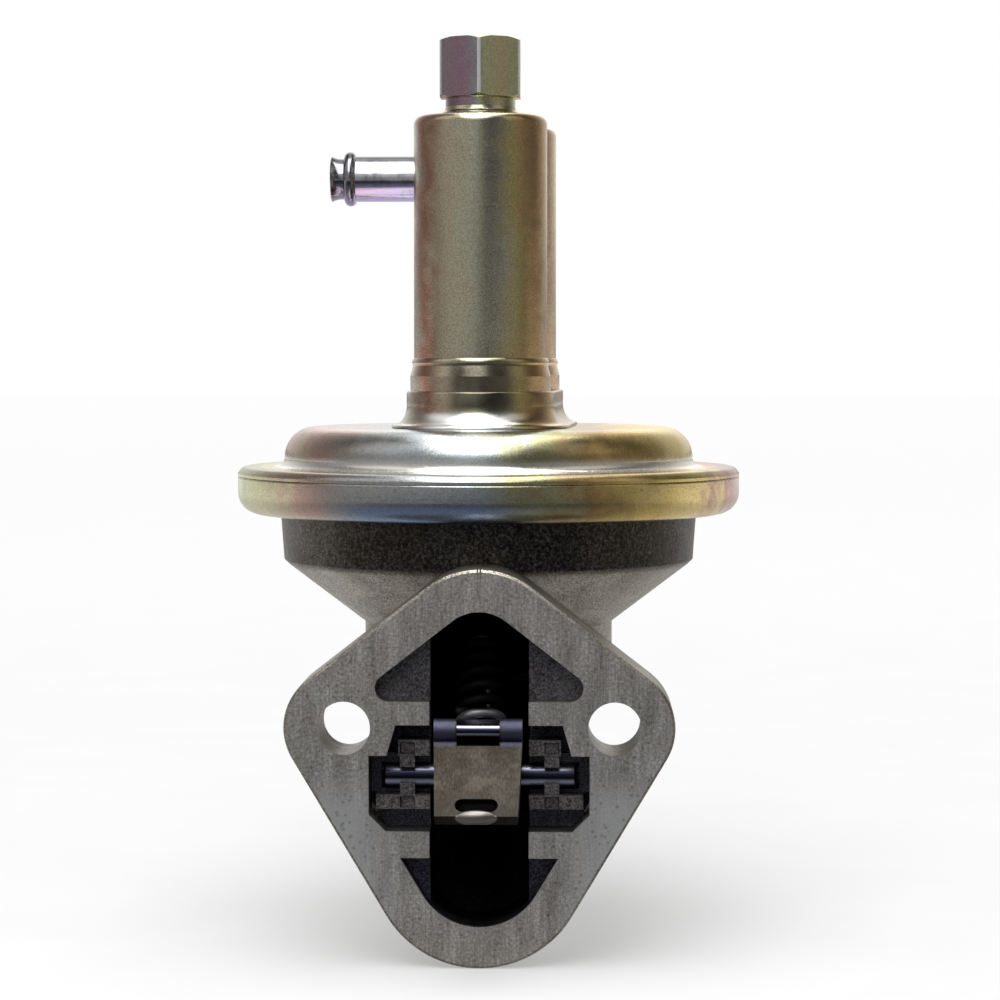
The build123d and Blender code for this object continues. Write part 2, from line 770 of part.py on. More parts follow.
outlet_valve_cage = valve_cage(canister_centres[0], outlet_seat_z, 1, cage_height)
outlet_valve_cage.label = "outlet_valve_cage"
outlet_valve_disc = valve_disc(canister_centres[0], outlet_seat_z, 1)
outlet_valve_disc.label = "outlet_valve_disc"
outlet_valve_spring = coil(
    (outlet_x, outlet_y, outlet_seat_z + disc_lift),
    (0, 0, 1),
    cage_height - cage_wall - disc_lift,
    valve_coil_r,
    valve_wire,
    valve_coil_turns,
)
outlet_valve_spring.label = "outlet_valve_spring"
inlet_valve_cage = valve_cage(canister_centres[1], inlet_seat_z, -1, inlet_cage_height)
inlet_valve_cage.label = "inlet_valve_cage"
inlet_valve_disc = valve_disc(canister_centres[1], inlet_seat_z, -1)
inlet_valve_disc.label = "inlet_valve_disc"
inlet_valve_spring = coil(
    (inlet_x, inlet_y, inlet_seat_z - inlet_cage_height + cage_wall),
    (0, 0, 1),
    inlet_cage_height - cage_wall - disc_lift,
    valve_coil_r,
    valve_wire,
    valve_coil_turns,
)
inlet_valve_spring.label = "inlet_valve_spring"

# Diaphragm: clamped edge, rolled convolution and flat centre
with BuildPart() as diaphragm:
    with BuildSketch(rod_section):
        with BuildLine():
            centre_top = Line((rod_d / 2, membrane_top_z), (roll_inner_r, membrane_top_z))
            clamp_top = Line((roll_outer_r, seat_z), (diaphragm_r, seat_z))
            Spline(centre_top @ 1, clamp_top @ 0, tangents=((1, 0), (1, 0)))
            Line(clamp_top @ 1, (diaphragm_r, clamp_z))
            clamp_bottom = Line((diaphragm_r, clamp_z), (roll_outer_r, clamp_z))
            centre_bottom = Line((roll_inner_r, membrane_bottom_z), (rod_d / 2, membrane_bottom_z))
            Spline(clamp_bottom @ 1, centre_bottom @ 0, tangents=((-1, 0), (-1, 0)))
            Line(centre_bottom @ 1, centre_top @ 0)
        make_face()
    revolve(axis=rod_axis)
diaphragm.part.label = "diaphragm"


def protector_plate(bottom_z, rolled_edge):
    """Round plate on the rod, its outer edge eased where it meets the diaphragm."""
    with BuildPart() as plate:
        with BuildSketch(Plane.XY.offset(bottom_z)):
            with Locations((0, axis_y)):
                Circle(plate_r)
                Circle(rod_d / 2, mode=Mode.SUBTRACT)
        extrude(amount=plate_thickness)
        rim_edges = plate.edges().group_by(Axis.Z)[rolled_edge]
        fillet(rim_edges.filter_by(lambda e: e.radius > rod_d), plate_edge_radius)
    return plate.part


upper_plate = protector_plate(membrane_top_z, 0)
upper_plate.label = "upper_plate"
lower_plate = protector_plate(membrane_bottom_z - plate_thickness, -1)
lower_plate.label = "lower_plate"

# Pull rod: riveted head, collar under the lower plate, shank, neck and button
with BuildPart() as pull_rod:
    with BuildSketch(rod_section):
        head_z = membrane_top_z + plate_thickness
        collar_z = membrane_bottom_z - plate_thickness
        with BuildLine():
            Polyline(
                (0, head_z + rod_head_height),
                (rod_head_r - 1, head_z + rod_head_height),
                (rod_head_r, head_z + rod_head_height - 1),
                (rod_head_r, head_z),
                (rod_d / 2, head_z),
                (rod_d / 2, collar_z),
                (rod_head_r, collar_z),
                (rod_head_r, collar_z - rod_collar_height),
                (rod_d / 2, collar_z - rod_collar_height),
                (rod_d / 2, rod_shoulder_z),
                (rod_neck_d / 2, rod_shoulder_z - 0.8),
                (rod_neck_d / 2, rod_button_z),
                (rod_button_r, rod_button_z),
                (rod_button_r, rod_button_z - rod_button_height + 1),
                (rod_button_r - 1, rod_button_z - rod_button_height),
                (0, rod_button_z - rod_button_height),
                close=True,
            )
        make_face()
    revolve(axis=rod_axis)
pull_rod.part.label = "pull_rod"

# Oil seal in its pocket under the retainer washer
with BuildPart() as oil_seal:
    with BuildSketch(Plane.XY.offset(bowl_floor_z - joint_gap)):
        with Locations((0, axis_y)):
            Circle(seal_r)
            Circle(rod_d / 2 + seal_running_clearance, mode=Mode.SUBTRACT)
    extrude(amount=-seal_height)
oil_seal.part.label = "oil_seal"

with BuildPart() as seal_retainer:
    with BuildSketch(Plane.XY.offset(bowl_floor_z)):
        with Locations((0, axis_y)):
            Circle(retainer_r)
            Circle(rod_d / 2 + rod_bore_clearance, mode=Mode.SUBTRACT)
    extrude(amount=retainer_thickness)
seal_retainer.part.label = "seal_retainer"

spring_foot_z = bowl_floor_z + retainer_thickness
diaphragm_spring = coil(
    (0, axis_y, spring_foot_z),
    (0, 0, 1),
    membrane_bottom_z - plate_thickness - spring_foot_z,
    diaphragm_coil_r,
    diaphragm_wire,
    diaphragm_coil_turns,
)
diaphragm_spring.label = "diaphragm_spring"

# Pivot pin staked in the lugs
with BuildPart() as pivot_pin:
    with BuildSketch(side_plane):
        with Locations((pivot_y, pivot_z)):
            Circle(pin_d / 2)
    extrude(amount=pin_length / 2, both=True)
    chamfer(pivot_pin.edges().filter_by(GeomType.CIRCLE), 0.4)
pivot_pin.part.label = "pivot_pin"

# Rocker arm: pressed channel whose web faces the engine, with a crowned pad across its tip
lip_bottom_z = web_tip_z - arm_lip_height
with BuildPart() as rocker_arm:
    with BuildSketch(side_plane):
        with Locations((pivot_y, pivot_z)):
            Circle(arm_hub_r)
        with BuildLine():
            Polyline(
                (pivot_y, pivot_z + arm_hub_r),
                (knuckle_y, knuckle_z),
                (web_top_y, web_top_z),
                (web_tip_y, web_tip_z),
                (web_tip_y + 0.6, lip_bottom_z),
                (pivot_y, pivot_z - arm_hub_r),
                close=True,
            )
        make_face()
    extrude(amount=arm_width_top / 2, both=True)
    with BuildSketch(front_plane):
        with BuildLine():
            right_taper = Polyline(
                (0, 3 * knuckle_r),
                (arm_width_top / 2, 3 * knuckle_r),
                (arm_width_top / 2, web_top_z),
                (arm_width_tip / 2, lip_bottom_z),
                (arm_width_tip / 2, pivot_z - 2 * arm_hub_r),
                (0, pivot_z - 2 * arm_hub_r),
            )
            mirror(right_taper, about=Plane.YZ)
        make_face()
    extrude(amount=4 * arm_hub_r, both=True, mode=Mode.INTERSECT)
    web_direction = Vector(0, web_tip_y - web_top_y, web_tip_z - web_top_z).normalized()
    web_inward = Vector(0, -web_direction.Z, web_direction.Y)
    inner_top = Vector(0, web_top_y, web_top_z) + web_inward * arm_plate - web_direction * arm_plate
    inner_tip_y = inner_top.Y + (web_tip_z - inner_top.Z) * web_direction.Y / web_direction.Z
    with BuildSketch(side_plane):
        with BuildLine():
            Polyline(
                (inner_top.Y, inner_top.Z),
                (inner_tip_y, web_tip_z),
                (web_tip_y + arm_return_length, web_tip_z),
                (web_tip_y + arm_return_length, pivot_z - 2 * arm_hub_r),
                (pivot_y + 2 * arm_hub_r, pivot_z - 2 * arm_hub_r),
                (pivot_y + 2 * arm_hub_r, knuckle_z + 2 * knuckle_r),
                (inner_top.Y, knuckle_z + 2 * knuckle_r),
                close=True,
            )
        make_face()
    extrude(amount=arm_inner_width / 2, both=True, mode=Mode.SUBTRACT)
    for side in (-1, 1):
        with BuildSketch(side_plane.offset(side * knuckle_gap / 2)):
            with Locations((knuckle_y, knuckle_z)):
                Circle(knuckle_r)
        extrude(amount=side * (arm_width_top - knuckle_gap) / 2)
    with BuildSketch(side_plane):
        with Locations((knuckle_y, knuckle_z)):
            Circle(bar_d / 2 + bar_clearance)
    extrude(amount=arm_width_top, both=True, mode=Mode.SUBTRACT)
    with BuildSketch(Plane.XZ.offset(-knuckle_y)):
        with Locations((0, knuckle_z)):
            Rectangle(knuckle_gap, 2 * knuckle_r + 0.2)
    extrude(amount=3 * knuckle_r, both=True, mode=Mode.SUBTRACT)
    with BuildSketch(side_plane):
        with Locations((pivot_y, pivot_z)):
            Circle(pin_d / 2 + pin_running_clearance)
    extrude(amount=arm_width_top, both=True, mode=Mode.SUBTRACT)
    # Oval slot above the pad, then the pad itself
    slot_centre = Vector(0, web_tip_y, web_tip_z) - web_direction * (tip_slot_height / 2 + 1.0)
    with BuildSketch(Plane(origin=slot_centre, x_dir=(1, 0, 0), z_dir=-web_inward)):
        SlotOverall(tip_slot_width, tip_slot_height)
    extrude(amount=2 * arm_plate, both=True, mode=Mode.SUBTRACT)
    pad_centre = Vector(0, web_tip_y + 0.7, web_tip_z - 0.2)
    with BuildSketch(Plane(origin=pad_centre, x_dir=(1, 0, 0), z_dir=(0, -1, 0))):
        with BuildLine():
            ThreePointArc(
                (-tip_pad_length / 2, tip_pad_end_r), (0, tip_pad_r), (tip_pad_length / 2, tip_pad_end_r)
            )
            Polyline(
                (tip_pad_length / 2, tip_pad_end_r),
                (tip_pad_length / 2, 0),
                (-tip_pad_length / 2, 0),
                (-tip_pad_length / 2, tip_pad_end_r),
            )
        make_face()
    revolve(axis=Axis(pad_centre, (1, 0, 0)))
rocker_arm.part.label = "rocker_arm"

# Spring seat: rolled front bar held in the knuckles and a plate that slopes back under the spring
with BuildPart() as spring_seat:
    plate_offset = seat_distance - seat_plate / 2
    crest_shift = seat_shift + arm_coil_r + arm_wire / 2 + 0.6
    tail_shift = seat_shift - arm_coil_r - arm_wire / 2
    crest_y = pivot_y + plate_offset * sin(tilt) - crest_shift * cos(tilt)
    crest_z = pivot_z + plate_offset * cos(tilt) + crest_shift * sin(tilt)
    tail_y = pivot_y + plate_offset * sin(tilt) - tail_shift * cos(tilt)
    tail_z = pivot_z + plate_offset * cos(tilt) + tail_shift * sin(tilt)
    with BuildSketch(side_plane):
        with BuildLine():
            Polyline((knuckle_y, knuckle_z + (bar_d - seat_plate) / 2), (crest_y, crest_z), (tail_y, tail_z))
        trace(line_width=seat_plate)
    extrude(amount=seat_width / 2, both=True)
    with BuildSketch(Plane.XY.offset(knuckle_z - 4 * bar_d)):
        tongue_y = knuckle_y + knuckle_r + 0.3
        with Locations((0, (knuckle_y - knuckle_r + tongue_y) / 2)):
            Rectangle(knuckle_gap - 0.6, tongue_y - knuckle_y + knuckle_r)
        with Locations((0, (tongue_y + tail_y + seat_plate) / 2)):
            Rectangle(seat_width, tail_y + seat_plate - tongue_y)
    extrude(amount=8 * bar_d, mode=Mode.INTERSECT)
    with BuildSketch(side_plane):
        with Locations((knuckle_y, knuckle_z)):
            Circle(bar_d / 2)
    extrude(amount=arm_width_top / 2 - 0.2, both=True)
    with BuildSketch(seat_plane):
        Circle(seat_boss_r)
    extrude(amount=seat_boss_height)
spring_seat.part.label = "spring_seat"

arm_spring = coil(
    (0, seat_y, seat_centre_z),
    (0, sin(tilt), cos(tilt)),
    arm_coil_length,
    arm_coil_r,
    arm_wire,
    arm_coil_turns,
)
arm_spring.label = "arm_spring"

# Link lever: hub on the pivot pin, nose over the arm's return lip and a fork on the rod button
with BuildPart() as link_lever:
    nose_bottom_z = web_tip_z + link_nose_gap
    with BuildSketch(side_plane):
        with BuildLine():
            Polyline(
                (link_nose_y, nose_bottom_z),
                (link_nose_y, nose_bottom_z + link_nose_height),
                (pivot_y, pivot_z + link_beam_height / 2),
                (axis_y, link_end_z + link_end_r),
                (axis_y, link_end_z - link_end_r),
                (axis_y - rod_button_r - 1, link_end_z - link_end_r + 0.5),
                (pivot_y, pivot_z - link_beam_height / 2),
                close=True,
            )
        make_face()
        with Locations((pivot_y, pivot_z)):
            Circle(link_hub_r)
        with Locations((axis_y, link_end_z)):
            Circle(link_end_r)
    extrude(amount=link_hub_width / 2, both=True)
    with BuildSketch(Plane.XY.offset(pivot_z - 4 * link_hub_r)):
        with BuildLine():
            right_edge = Polyline(
                (0, link_nose_y),
                (link_nose_width / 2, link_nose_y),
                (link_nose_width / 2, pivot_y - link_hub_r - 1.5),
                (link_hub_width / 2, pivot_y - link_hub_r),
                (link_hub_width / 2, pivot_y + link_hub_r),
                (link_beam_width / 2, pivot_y + 3 * link_hub_r),
                (link_beam_width / 2, axis_y - 3 * link_fork_width / 2),
                (link_fork_width / 2, axis_y - link_fork_width / 2),
                (link_fork_width / 2, axis_y + link_end_r),
                (0, axis_y + link_end_r),
            )
            mirror(right_edge, about=Plane.YZ)
        make_face()
    extrude(amount=8 * link_hub_r, mode=Mode.INTERSECT)
    fork_half = rod_neck_d / 2 + link_fork_clearance
    with BuildSketch(Plane.XY.offset(link_end_z - 3 * link_end_r)):
        with Locations((0, axis_y)):
            Circle(fork_half)
        with Locations((0, axis_y + link_end_r)):
            Rectangle(2 * fork_half, 2 * link_end_r)
    extrude(amount=6 * link_end_r, mode=Mode.SUBTRACT)
    with BuildSketch(side_plane):
        with Locations((pivot_y, pivot_z)):
            Circle(pin_d / 2 + pin_running_clearance)
    extrude(amount=link_hub_width, both=True, mode=Mode.SUBTRACT)
link_lever.part.label = "link_lever"

export_step(lower_body.part, "parts/lower_body.step")
export_step(upper_cover.part, "parts/upper_cover.step")
export_step(canister_collar.part, "parts/canister_collar.step")
export_step(outlet_canister.part, "parts/outlet_canister.step")
export_step(inlet_canister.part, "parts/inlet_canister.step")
export_step(outlet_fitting.part, "parts/outlet_fitting.step")
export_step(inlet_nipple.part, "parts/inlet_nipple.step")
export_step(strainer.part, "parts/strainer.step")
export_step(valve_gasket.part, "parts/valve_gasket.step")
export_step(valve_plate.part, "parts/valve_plate.step")
export_step(outlet_valve_cage, "parts/outlet_valve_cage.step")
export_step(outlet_valve_disc, "parts/outlet_valve_disc.step")
export_step(outlet_valve_spring, "parts/outlet_valve_spring.step")
export_step(inlet_valve_cage, "parts/inlet_valve_cage.step")
export_step(inlet_valve_disc, "parts/inlet_valve_disc.step")
export_step(inlet_valve_spring, "parts/inlet_valve_spring.step")
export_step(diaphragm.part, "parts/diaphragm.step")
export_step(upper_plate, "parts/upper_plate.step")
export_step(lower_plate, "parts/lower_plate.step")
export_step(pull_rod.part, "parts/pull_rod.step")
export_step(oil_seal.part, "parts/oil_seal.step")
export_step(seal_retainer.part, "parts/seal_retainer.step")
export_step(diaphragm_spring, "parts/diaphragm_spring.step")
export_step(pivot_pin.part, "parts/pivot_pin.step")
export_step(rocker_arm.part, "parts/rocker_arm.step")
export_step(spring_seat.part, "parts/spring_seat.step")
export_step(arm_spring, "parts/arm_spring.step")
export_step(link_lever.part, "parts/link_lever.step")
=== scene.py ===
import math

import bmesh
import bpy
from mathutils import Matrix, Vector


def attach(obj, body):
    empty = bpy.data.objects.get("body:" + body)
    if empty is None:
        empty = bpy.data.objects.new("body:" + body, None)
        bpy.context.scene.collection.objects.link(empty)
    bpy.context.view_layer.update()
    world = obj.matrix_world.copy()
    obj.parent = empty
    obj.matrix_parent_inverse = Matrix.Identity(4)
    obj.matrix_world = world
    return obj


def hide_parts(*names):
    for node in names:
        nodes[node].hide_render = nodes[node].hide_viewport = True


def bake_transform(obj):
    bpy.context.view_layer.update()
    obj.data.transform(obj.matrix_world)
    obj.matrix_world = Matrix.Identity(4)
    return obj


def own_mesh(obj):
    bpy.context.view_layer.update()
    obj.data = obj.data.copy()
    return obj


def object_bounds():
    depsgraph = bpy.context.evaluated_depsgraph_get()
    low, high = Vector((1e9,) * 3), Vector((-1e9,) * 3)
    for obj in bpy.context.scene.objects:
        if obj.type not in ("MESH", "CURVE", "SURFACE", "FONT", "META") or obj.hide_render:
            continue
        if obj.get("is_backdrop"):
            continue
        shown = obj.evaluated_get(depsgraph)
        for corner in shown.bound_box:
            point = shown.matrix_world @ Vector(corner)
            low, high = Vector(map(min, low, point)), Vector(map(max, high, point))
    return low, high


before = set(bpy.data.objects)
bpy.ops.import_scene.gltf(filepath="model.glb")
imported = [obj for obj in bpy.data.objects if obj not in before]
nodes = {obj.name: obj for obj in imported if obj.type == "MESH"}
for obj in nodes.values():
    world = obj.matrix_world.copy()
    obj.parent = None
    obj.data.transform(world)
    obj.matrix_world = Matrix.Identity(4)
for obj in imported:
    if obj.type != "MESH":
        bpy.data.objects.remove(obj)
cad_low, cad_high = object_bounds()

MM = 0.001

# Main places and sizes of the pump, in millimetres
BOLT_X = 25.4
BOLT_EDGE_R = 5.3
EAR_R = 11.3
FLANGE_TOP = (0.0, 13.75)
FLANGE_TOP_R = 16.0
FLANGE_BOTTOM = (0.0, -25.0)
FLANGE_BOTTOM_R = 20.3
FLANGE_THICKNESS = 15.2
RECESS_INSET = 7.5
RECESS_TOP = 22.2
SLOT_Z = (-37.6, 22.0)
SLOT_MIDDLE = -7.5
SLOT_BACK = 29.5
CHAMBER_Z = (-20.7, 5.2)
CHAMBER_BACK = 66.5
CHAMBER_HALF = 9.4
AXIS_Y = 57.0
OUTLET = (-1.0987, 41.2884)
INLET = (1.0987, 72.7116)
RIM_R = 51.4
RIM_TOP = 47.1
RIM_BOTTOM = 37.6
RIM_LIP = 6.5
SEAM_Z = 45.3
DOME_R = 41.9
DOME_TOP = 55.2
SHEET = 1.5
CANISTER_R = 12.6
CANISTER_TOP = 117.3
HEX_BOTTOM = 120.8
HEX_TOP = 132.5
HEX_R = 15.875 / 2
NECK_R = 6.95
NIPPLE_Z = 106.8
NIPPLE_R = 4.7625
SPRING_FOOT = (0.0, 7.689, -1.987)
SPRING_TILT = math.radians(35.0)
SPRING_LENGTH = 20.0
SPRING_MEAN_R = 4.1
SPRING_WIRE_R = 0.95
SPRING_TURNS = 6.5


def srgb(red, green, blue):
    """A colour given on a 0 to 255 scale, as linear light."""
    linear = []
    for value in (red, green, blue):
        share = value / 255
        linear.append(share / 12.92 if share <= 0.04045 else ((share + 0.055) / 1.055) ** 2.4)
    return (*linear, 1.0)


class Surface:
    """A procedural material, with its patterns given in millimetres on the object."""

    def __init__(self, name):
        self.material = bpy.data.materials.new(name)
        self.material.use_nodes = True
        self.tree = self.material.node_tree
        self.shader = self.tree.nodes["Principled BSDF"]
        place = self.tree.nodes.new("ShaderNodeTexCoord")
        self.normal = place.outputs["Normal"]
        self.place = self.vector("SCALE", place.outputs["Object"], scale=1 / MM)
        self.x, self.y, self.z = self.split(self.place)

    def put(self, socket, value):
        """Links the socket to another one, or sets it to a plain value."""
        if isinstance(value, bpy.types.NodeSocket):
            self.tree.links.new(value, socket)
        else:
            socket.default_value = value

    def vector(self, operation, first, second=None, scale=None):
        node = self.tree.nodes.new("ShaderNodeVectorMath")
        node.operation = operation
        self.put(node.inputs[0], first)
        if second is not None:
            self.put(node.inputs[1], second)
        if scale is not None:
            self.put(node.inputs["Scale"], scale)
        return node.outputs["Value" if operation == "LENGTH" else "Vector"]

    def split(self, vector):
        node = self.tree.nodes.new("ShaderNodeSeparateXYZ")
        self.put(node.inputs[0], vector)
        return node.outputs

    def join(self, x, y, z):
        node = self.tree.nodes.new("ShaderNodeCombineXYZ")
        for socket, value in zip(node.inputs, (x, y, z)):
            self.put(socket, value)
        return node.outputs[0]

    def math(self, operation, *values, clamp=False):
        node = self.tree.nodes.new("ShaderNodeMath")
        node.operation = operation
        node.use_clamp = clamp
        for socket, value in zip(node.inputs, values):
            self.put(socket, value)
        return node.outputs[0]

    def times(self, first, *others):
        """Product of all the values."""
        for value in others:
            first = self.math("MULTIPLY", first, value)
        return first

    def off(self, value, centre=0.0):
        """How far value lies from centre, either way."""
        return self.math("ABSOLUTE", self.math("SUBTRACT", value, centre))

    def between(self, value, low, high):
        """1 where value lies between low and high, and 0 elsewhere."""
        return self.times(self.math("GREATER_THAN", value, low), self.math("LESS_THAN", value, high))

    def axis_distance(self, x, y):
        """Distance from an upright axis through (x, y)."""
        away = self.vector("SUBTRACT", self.place, (x, y, 0))
        return self.vector("LENGTH", self.vector("MULTIPLY", away, (1, 1, 0)))

    def spans(self, value, low, high, to_low=0.0, to_high=1.0):
        """Smooth change from to_low to to_high as value goes from low to high."""
        node = self.tree.nodes.new("ShaderNodeMapRange")
        node.interpolation_type = "SMOOTHSTEP"
        for socket, number in zip(node.inputs, (value, low, high, to_low, to_high)):
            self.put(socket, number)
        return node.outputs[0]

    def noise(self, size, detail=3.0, rough=0.5, warp=0.0, stretch=(1, 1, 1), at=None):
        """Cloudy pattern from 0 to 1 whose features are about size millimetres."""
        node = self.tree.nodes.new("ShaderNodeTexNoise")
        where = self.vector("MULTIPLY", at or self.place, stretch)
        self.put(node.inputs["Vector"], where)
        self.put(node.inputs["Scale"], 1.0 / size)
        self.put(node.inputs["Detail"], detail)
        self.put(node.inputs["Roughness"], rough)
        self.put(node.inputs["Distortion"], warp)
        return node.outputs[0]

    def pits(self, size):
        """Distance to the nearest of scattered points, in their spacing."""
        node = self.tree.nodes.new("ShaderNodeTexVoronoi")
        self.put(node.inputs["Vector"], self.place)
        self.put(node.inputs["Scale"], 1.0 / size)
        return node.outputs["Distance"]

    def mix(self, factor, first, second, blend="MIX"):
        node = self.tree.nodes.new("ShaderNodeMix")
        node.data_type = "RGBA"
        node.blend_type = blend
        self.put(node.inputs[0], factor)
        self.put(node.inputs[6], first)
        self.put(node.inputs[7], second)
        return node.outputs[2]

    def ramp(self, value, *stops, smoothed=False):
        node = self.tree.nodes.new("ShaderNodeValToRGB")
        if smoothed:
            node.color_ramp.interpolation = "CARDINAL"
        elements = node.color_ramp.elements
        while len(elements) < len(stops):
            elements.new(0.5)
        for element, (position, colour) in zip(elements, stops):
            element.position = position
            element.color = colour
        self.put(node.inputs[0], value)
        return node.outputs[0]

    def bump(self, height, depth, normal=None):
        """Surface relief of depth millimetres for a height of 1."""
        node = self.tree.nodes.new("ShaderNodeBump")
        node.inputs["Distance"].default_value = depth * MM
        self.put(node.inputs["Height"], height)
        if normal is not None:
            self.put(node.inputs["Normal"], normal)
        return node.outputs[0]

    def finish(self, colour, roughness, relief, metallic):
        self.put(self.shader.inputs["Base Color"], colour)
        self.put(self.shader.inputs["Roughness"], roughness)
        self.put(self.shader.inputs["Normal"], relief)
        self.put(self.shader.inputs["Metallic"], metallic)
        return self.material


def plated_steel(name, across, lines, film_and_reflection_colours, worn=None, painted_band=None):
    """Zinc plate with a passivated film whose colours change over the range of x in across; these colours
    also paint the reflection bands.

    The fine lines run along the height or round the axis. Corners further from the centre
    than worn gives are painted near white, a painted highlight on corners worn bare. Between
    the heights that painted_band gives the middle is painted dark as painted shade, and below
    them a painted highlight makes it pale.
    """
    s = Surface(name)
    ny = s.split(s.normal)[1]
    cloud = s.noise(24.0, detail=3.0, rough=0.5, warp=0.8)
    patch = s.noise(6.0, detail=4.0, rough=0.65, warp=0.6)
    fine = s.noise(0.3, detail=2.0, rough=0.75)
    stain = s.spans(s.noise(1.6, detail=5.0, rough=0.75), 0.56, 0.76)
    out = s.axis_distance(0, AXIS_Y)
    if lines == "along":
        drawn = s.noise(0.5, detail=2.0, stretch=(1, 1, 0.03))
        smoothest = 0.18
    else:
        drawn = s.noise(0.5, detail=2.0, at=s.join(out, s.z, 0.0))
        smoothest = 0.23
    roughness = s.spans(patch, 0.3, 0.7, smoothest, smoothest + 0.07)
    roughness = s.math("ADD", roughness, s.times(stain, 0.1))

    # Film with painted reflections, bluer under the front of the rim and plainer on the sides that face
    # back
    drift = s.math("DIVIDE", s.math("SUBTRACT", s.x, across[0]), across[1] - across[0])
    hue = s.math("MULTIPLY_ADD", s.math("SUBTRACT", cloud, 0.5), 0.30, drift)
    hue = s.math("MULTIPLY_ADD", s.math("SUBTRACT", patch, 0.5), 0.22, hue)
    film = s.ramp(hue, *film_and_reflection_colours)
    low_front = s.times(s.spans(s.z, 42.0, 40.0), s.spans(s.y, 40.0, 30.0))
    low_front = s.times(low_front, s.spans(s.x, 12.0, -2.0), s.spans(s.x, -32.0, -20.0))
    film = s.mix(s.times(low_front, 0.85), film, srgb(142, 164, 206))
    film = s.mix(s.spans(ny, 0.0, 0.4, 0.0, 0.6), film, srgb(196, 194, 178))
    colour = s.mix(s.times(stain, 0.45), film, srgb(98, 86, 62))
    colour = s.mix(s.spans(fine, 0.35, 0.7, 0.0, 0.38), colour, srgb(94, 88, 72))

    if painted_band:
        low, high = painted_band
        # Painted shade across the middle of the band, and a painted highlight on the foot below it
        band = s.times(s.spans(s.z, low - 1.5, low + 0.5), s.spans(s.z, high + 2.0, high - 2.0))
        middle = s.spans(s.off(s.x, -0.5), 8.0, 4.5)
        colour = s.mix(s.times(band, middle, s.spans(patch, 0.3, 0.7, 0.9, 0.7)), colour, srgb(84, 78, 66))
        foot = s.times(s.spans(s.z, low - 0.5, low - 2.0), s.spans(s.off(s.x, -3.0), 12.0, 6.0))
        colour = s.mix(foot, colour, srgb(252, 252, 250))
        roughness = s.math("MULTIPLY_ADD", foot, 0.12, roughness)
    if lines == "round":
        # Painted highlight in the groove round the dome's foot, and a painted dark reflection along the
        # rim's top edge
        groove = s.times(s.spans(s.z, 46.8, 47.0), s.spans(s.z, 50.0, 48.0), s.spans(out, 44.5, 43.0))
        colour = s.mix(s.times(groove, 0.85), colour, srgb(250, 247, 238))
        edge = s.times(s.spans(s.z, 46.3, 46.9), s.spans(out, 46.0, 48.0))
        colour = s.mix(s.times(edge, 0.45), colour, srgb(120, 118, 106))
    if worn:
        # Painted highlight on the hexagon's corners, which are also worn bare
        centre, radius = worn
        painted_bright = s.spans(s.axis_distance(*centre), radius, radius + 0.06)
        colour = s.mix(painted_bright, colour, srgb(244, 244, 246))

    relief = s.bump(drawn, 0.007)
    relief = s.bump(fine, 0.014, relief)
    relief = s.bump(s.noise(7.0, detail=2.0), 0.05, relief)
    return s.finish(colour, roughness, relief, metallic=1.0)


def tangent(first, first_r, second, second_r):
    """Outer tangent of two circles, as its direction outwards and its distance from the origin."""
    reach = Vector(first) - Vector(second)
    share = (second_r - first_r) / reach.length
    along = reach.normalized()
    outward = Vector((along.y, -along.x))
    if outward.dot(Vector(first)) < 0:
        outward.negate()
    normal = along * share + outward * math.sqrt(1 - share ** 2)
    return normal.x, normal.y, normal.dot(Vector(first)) + first_r


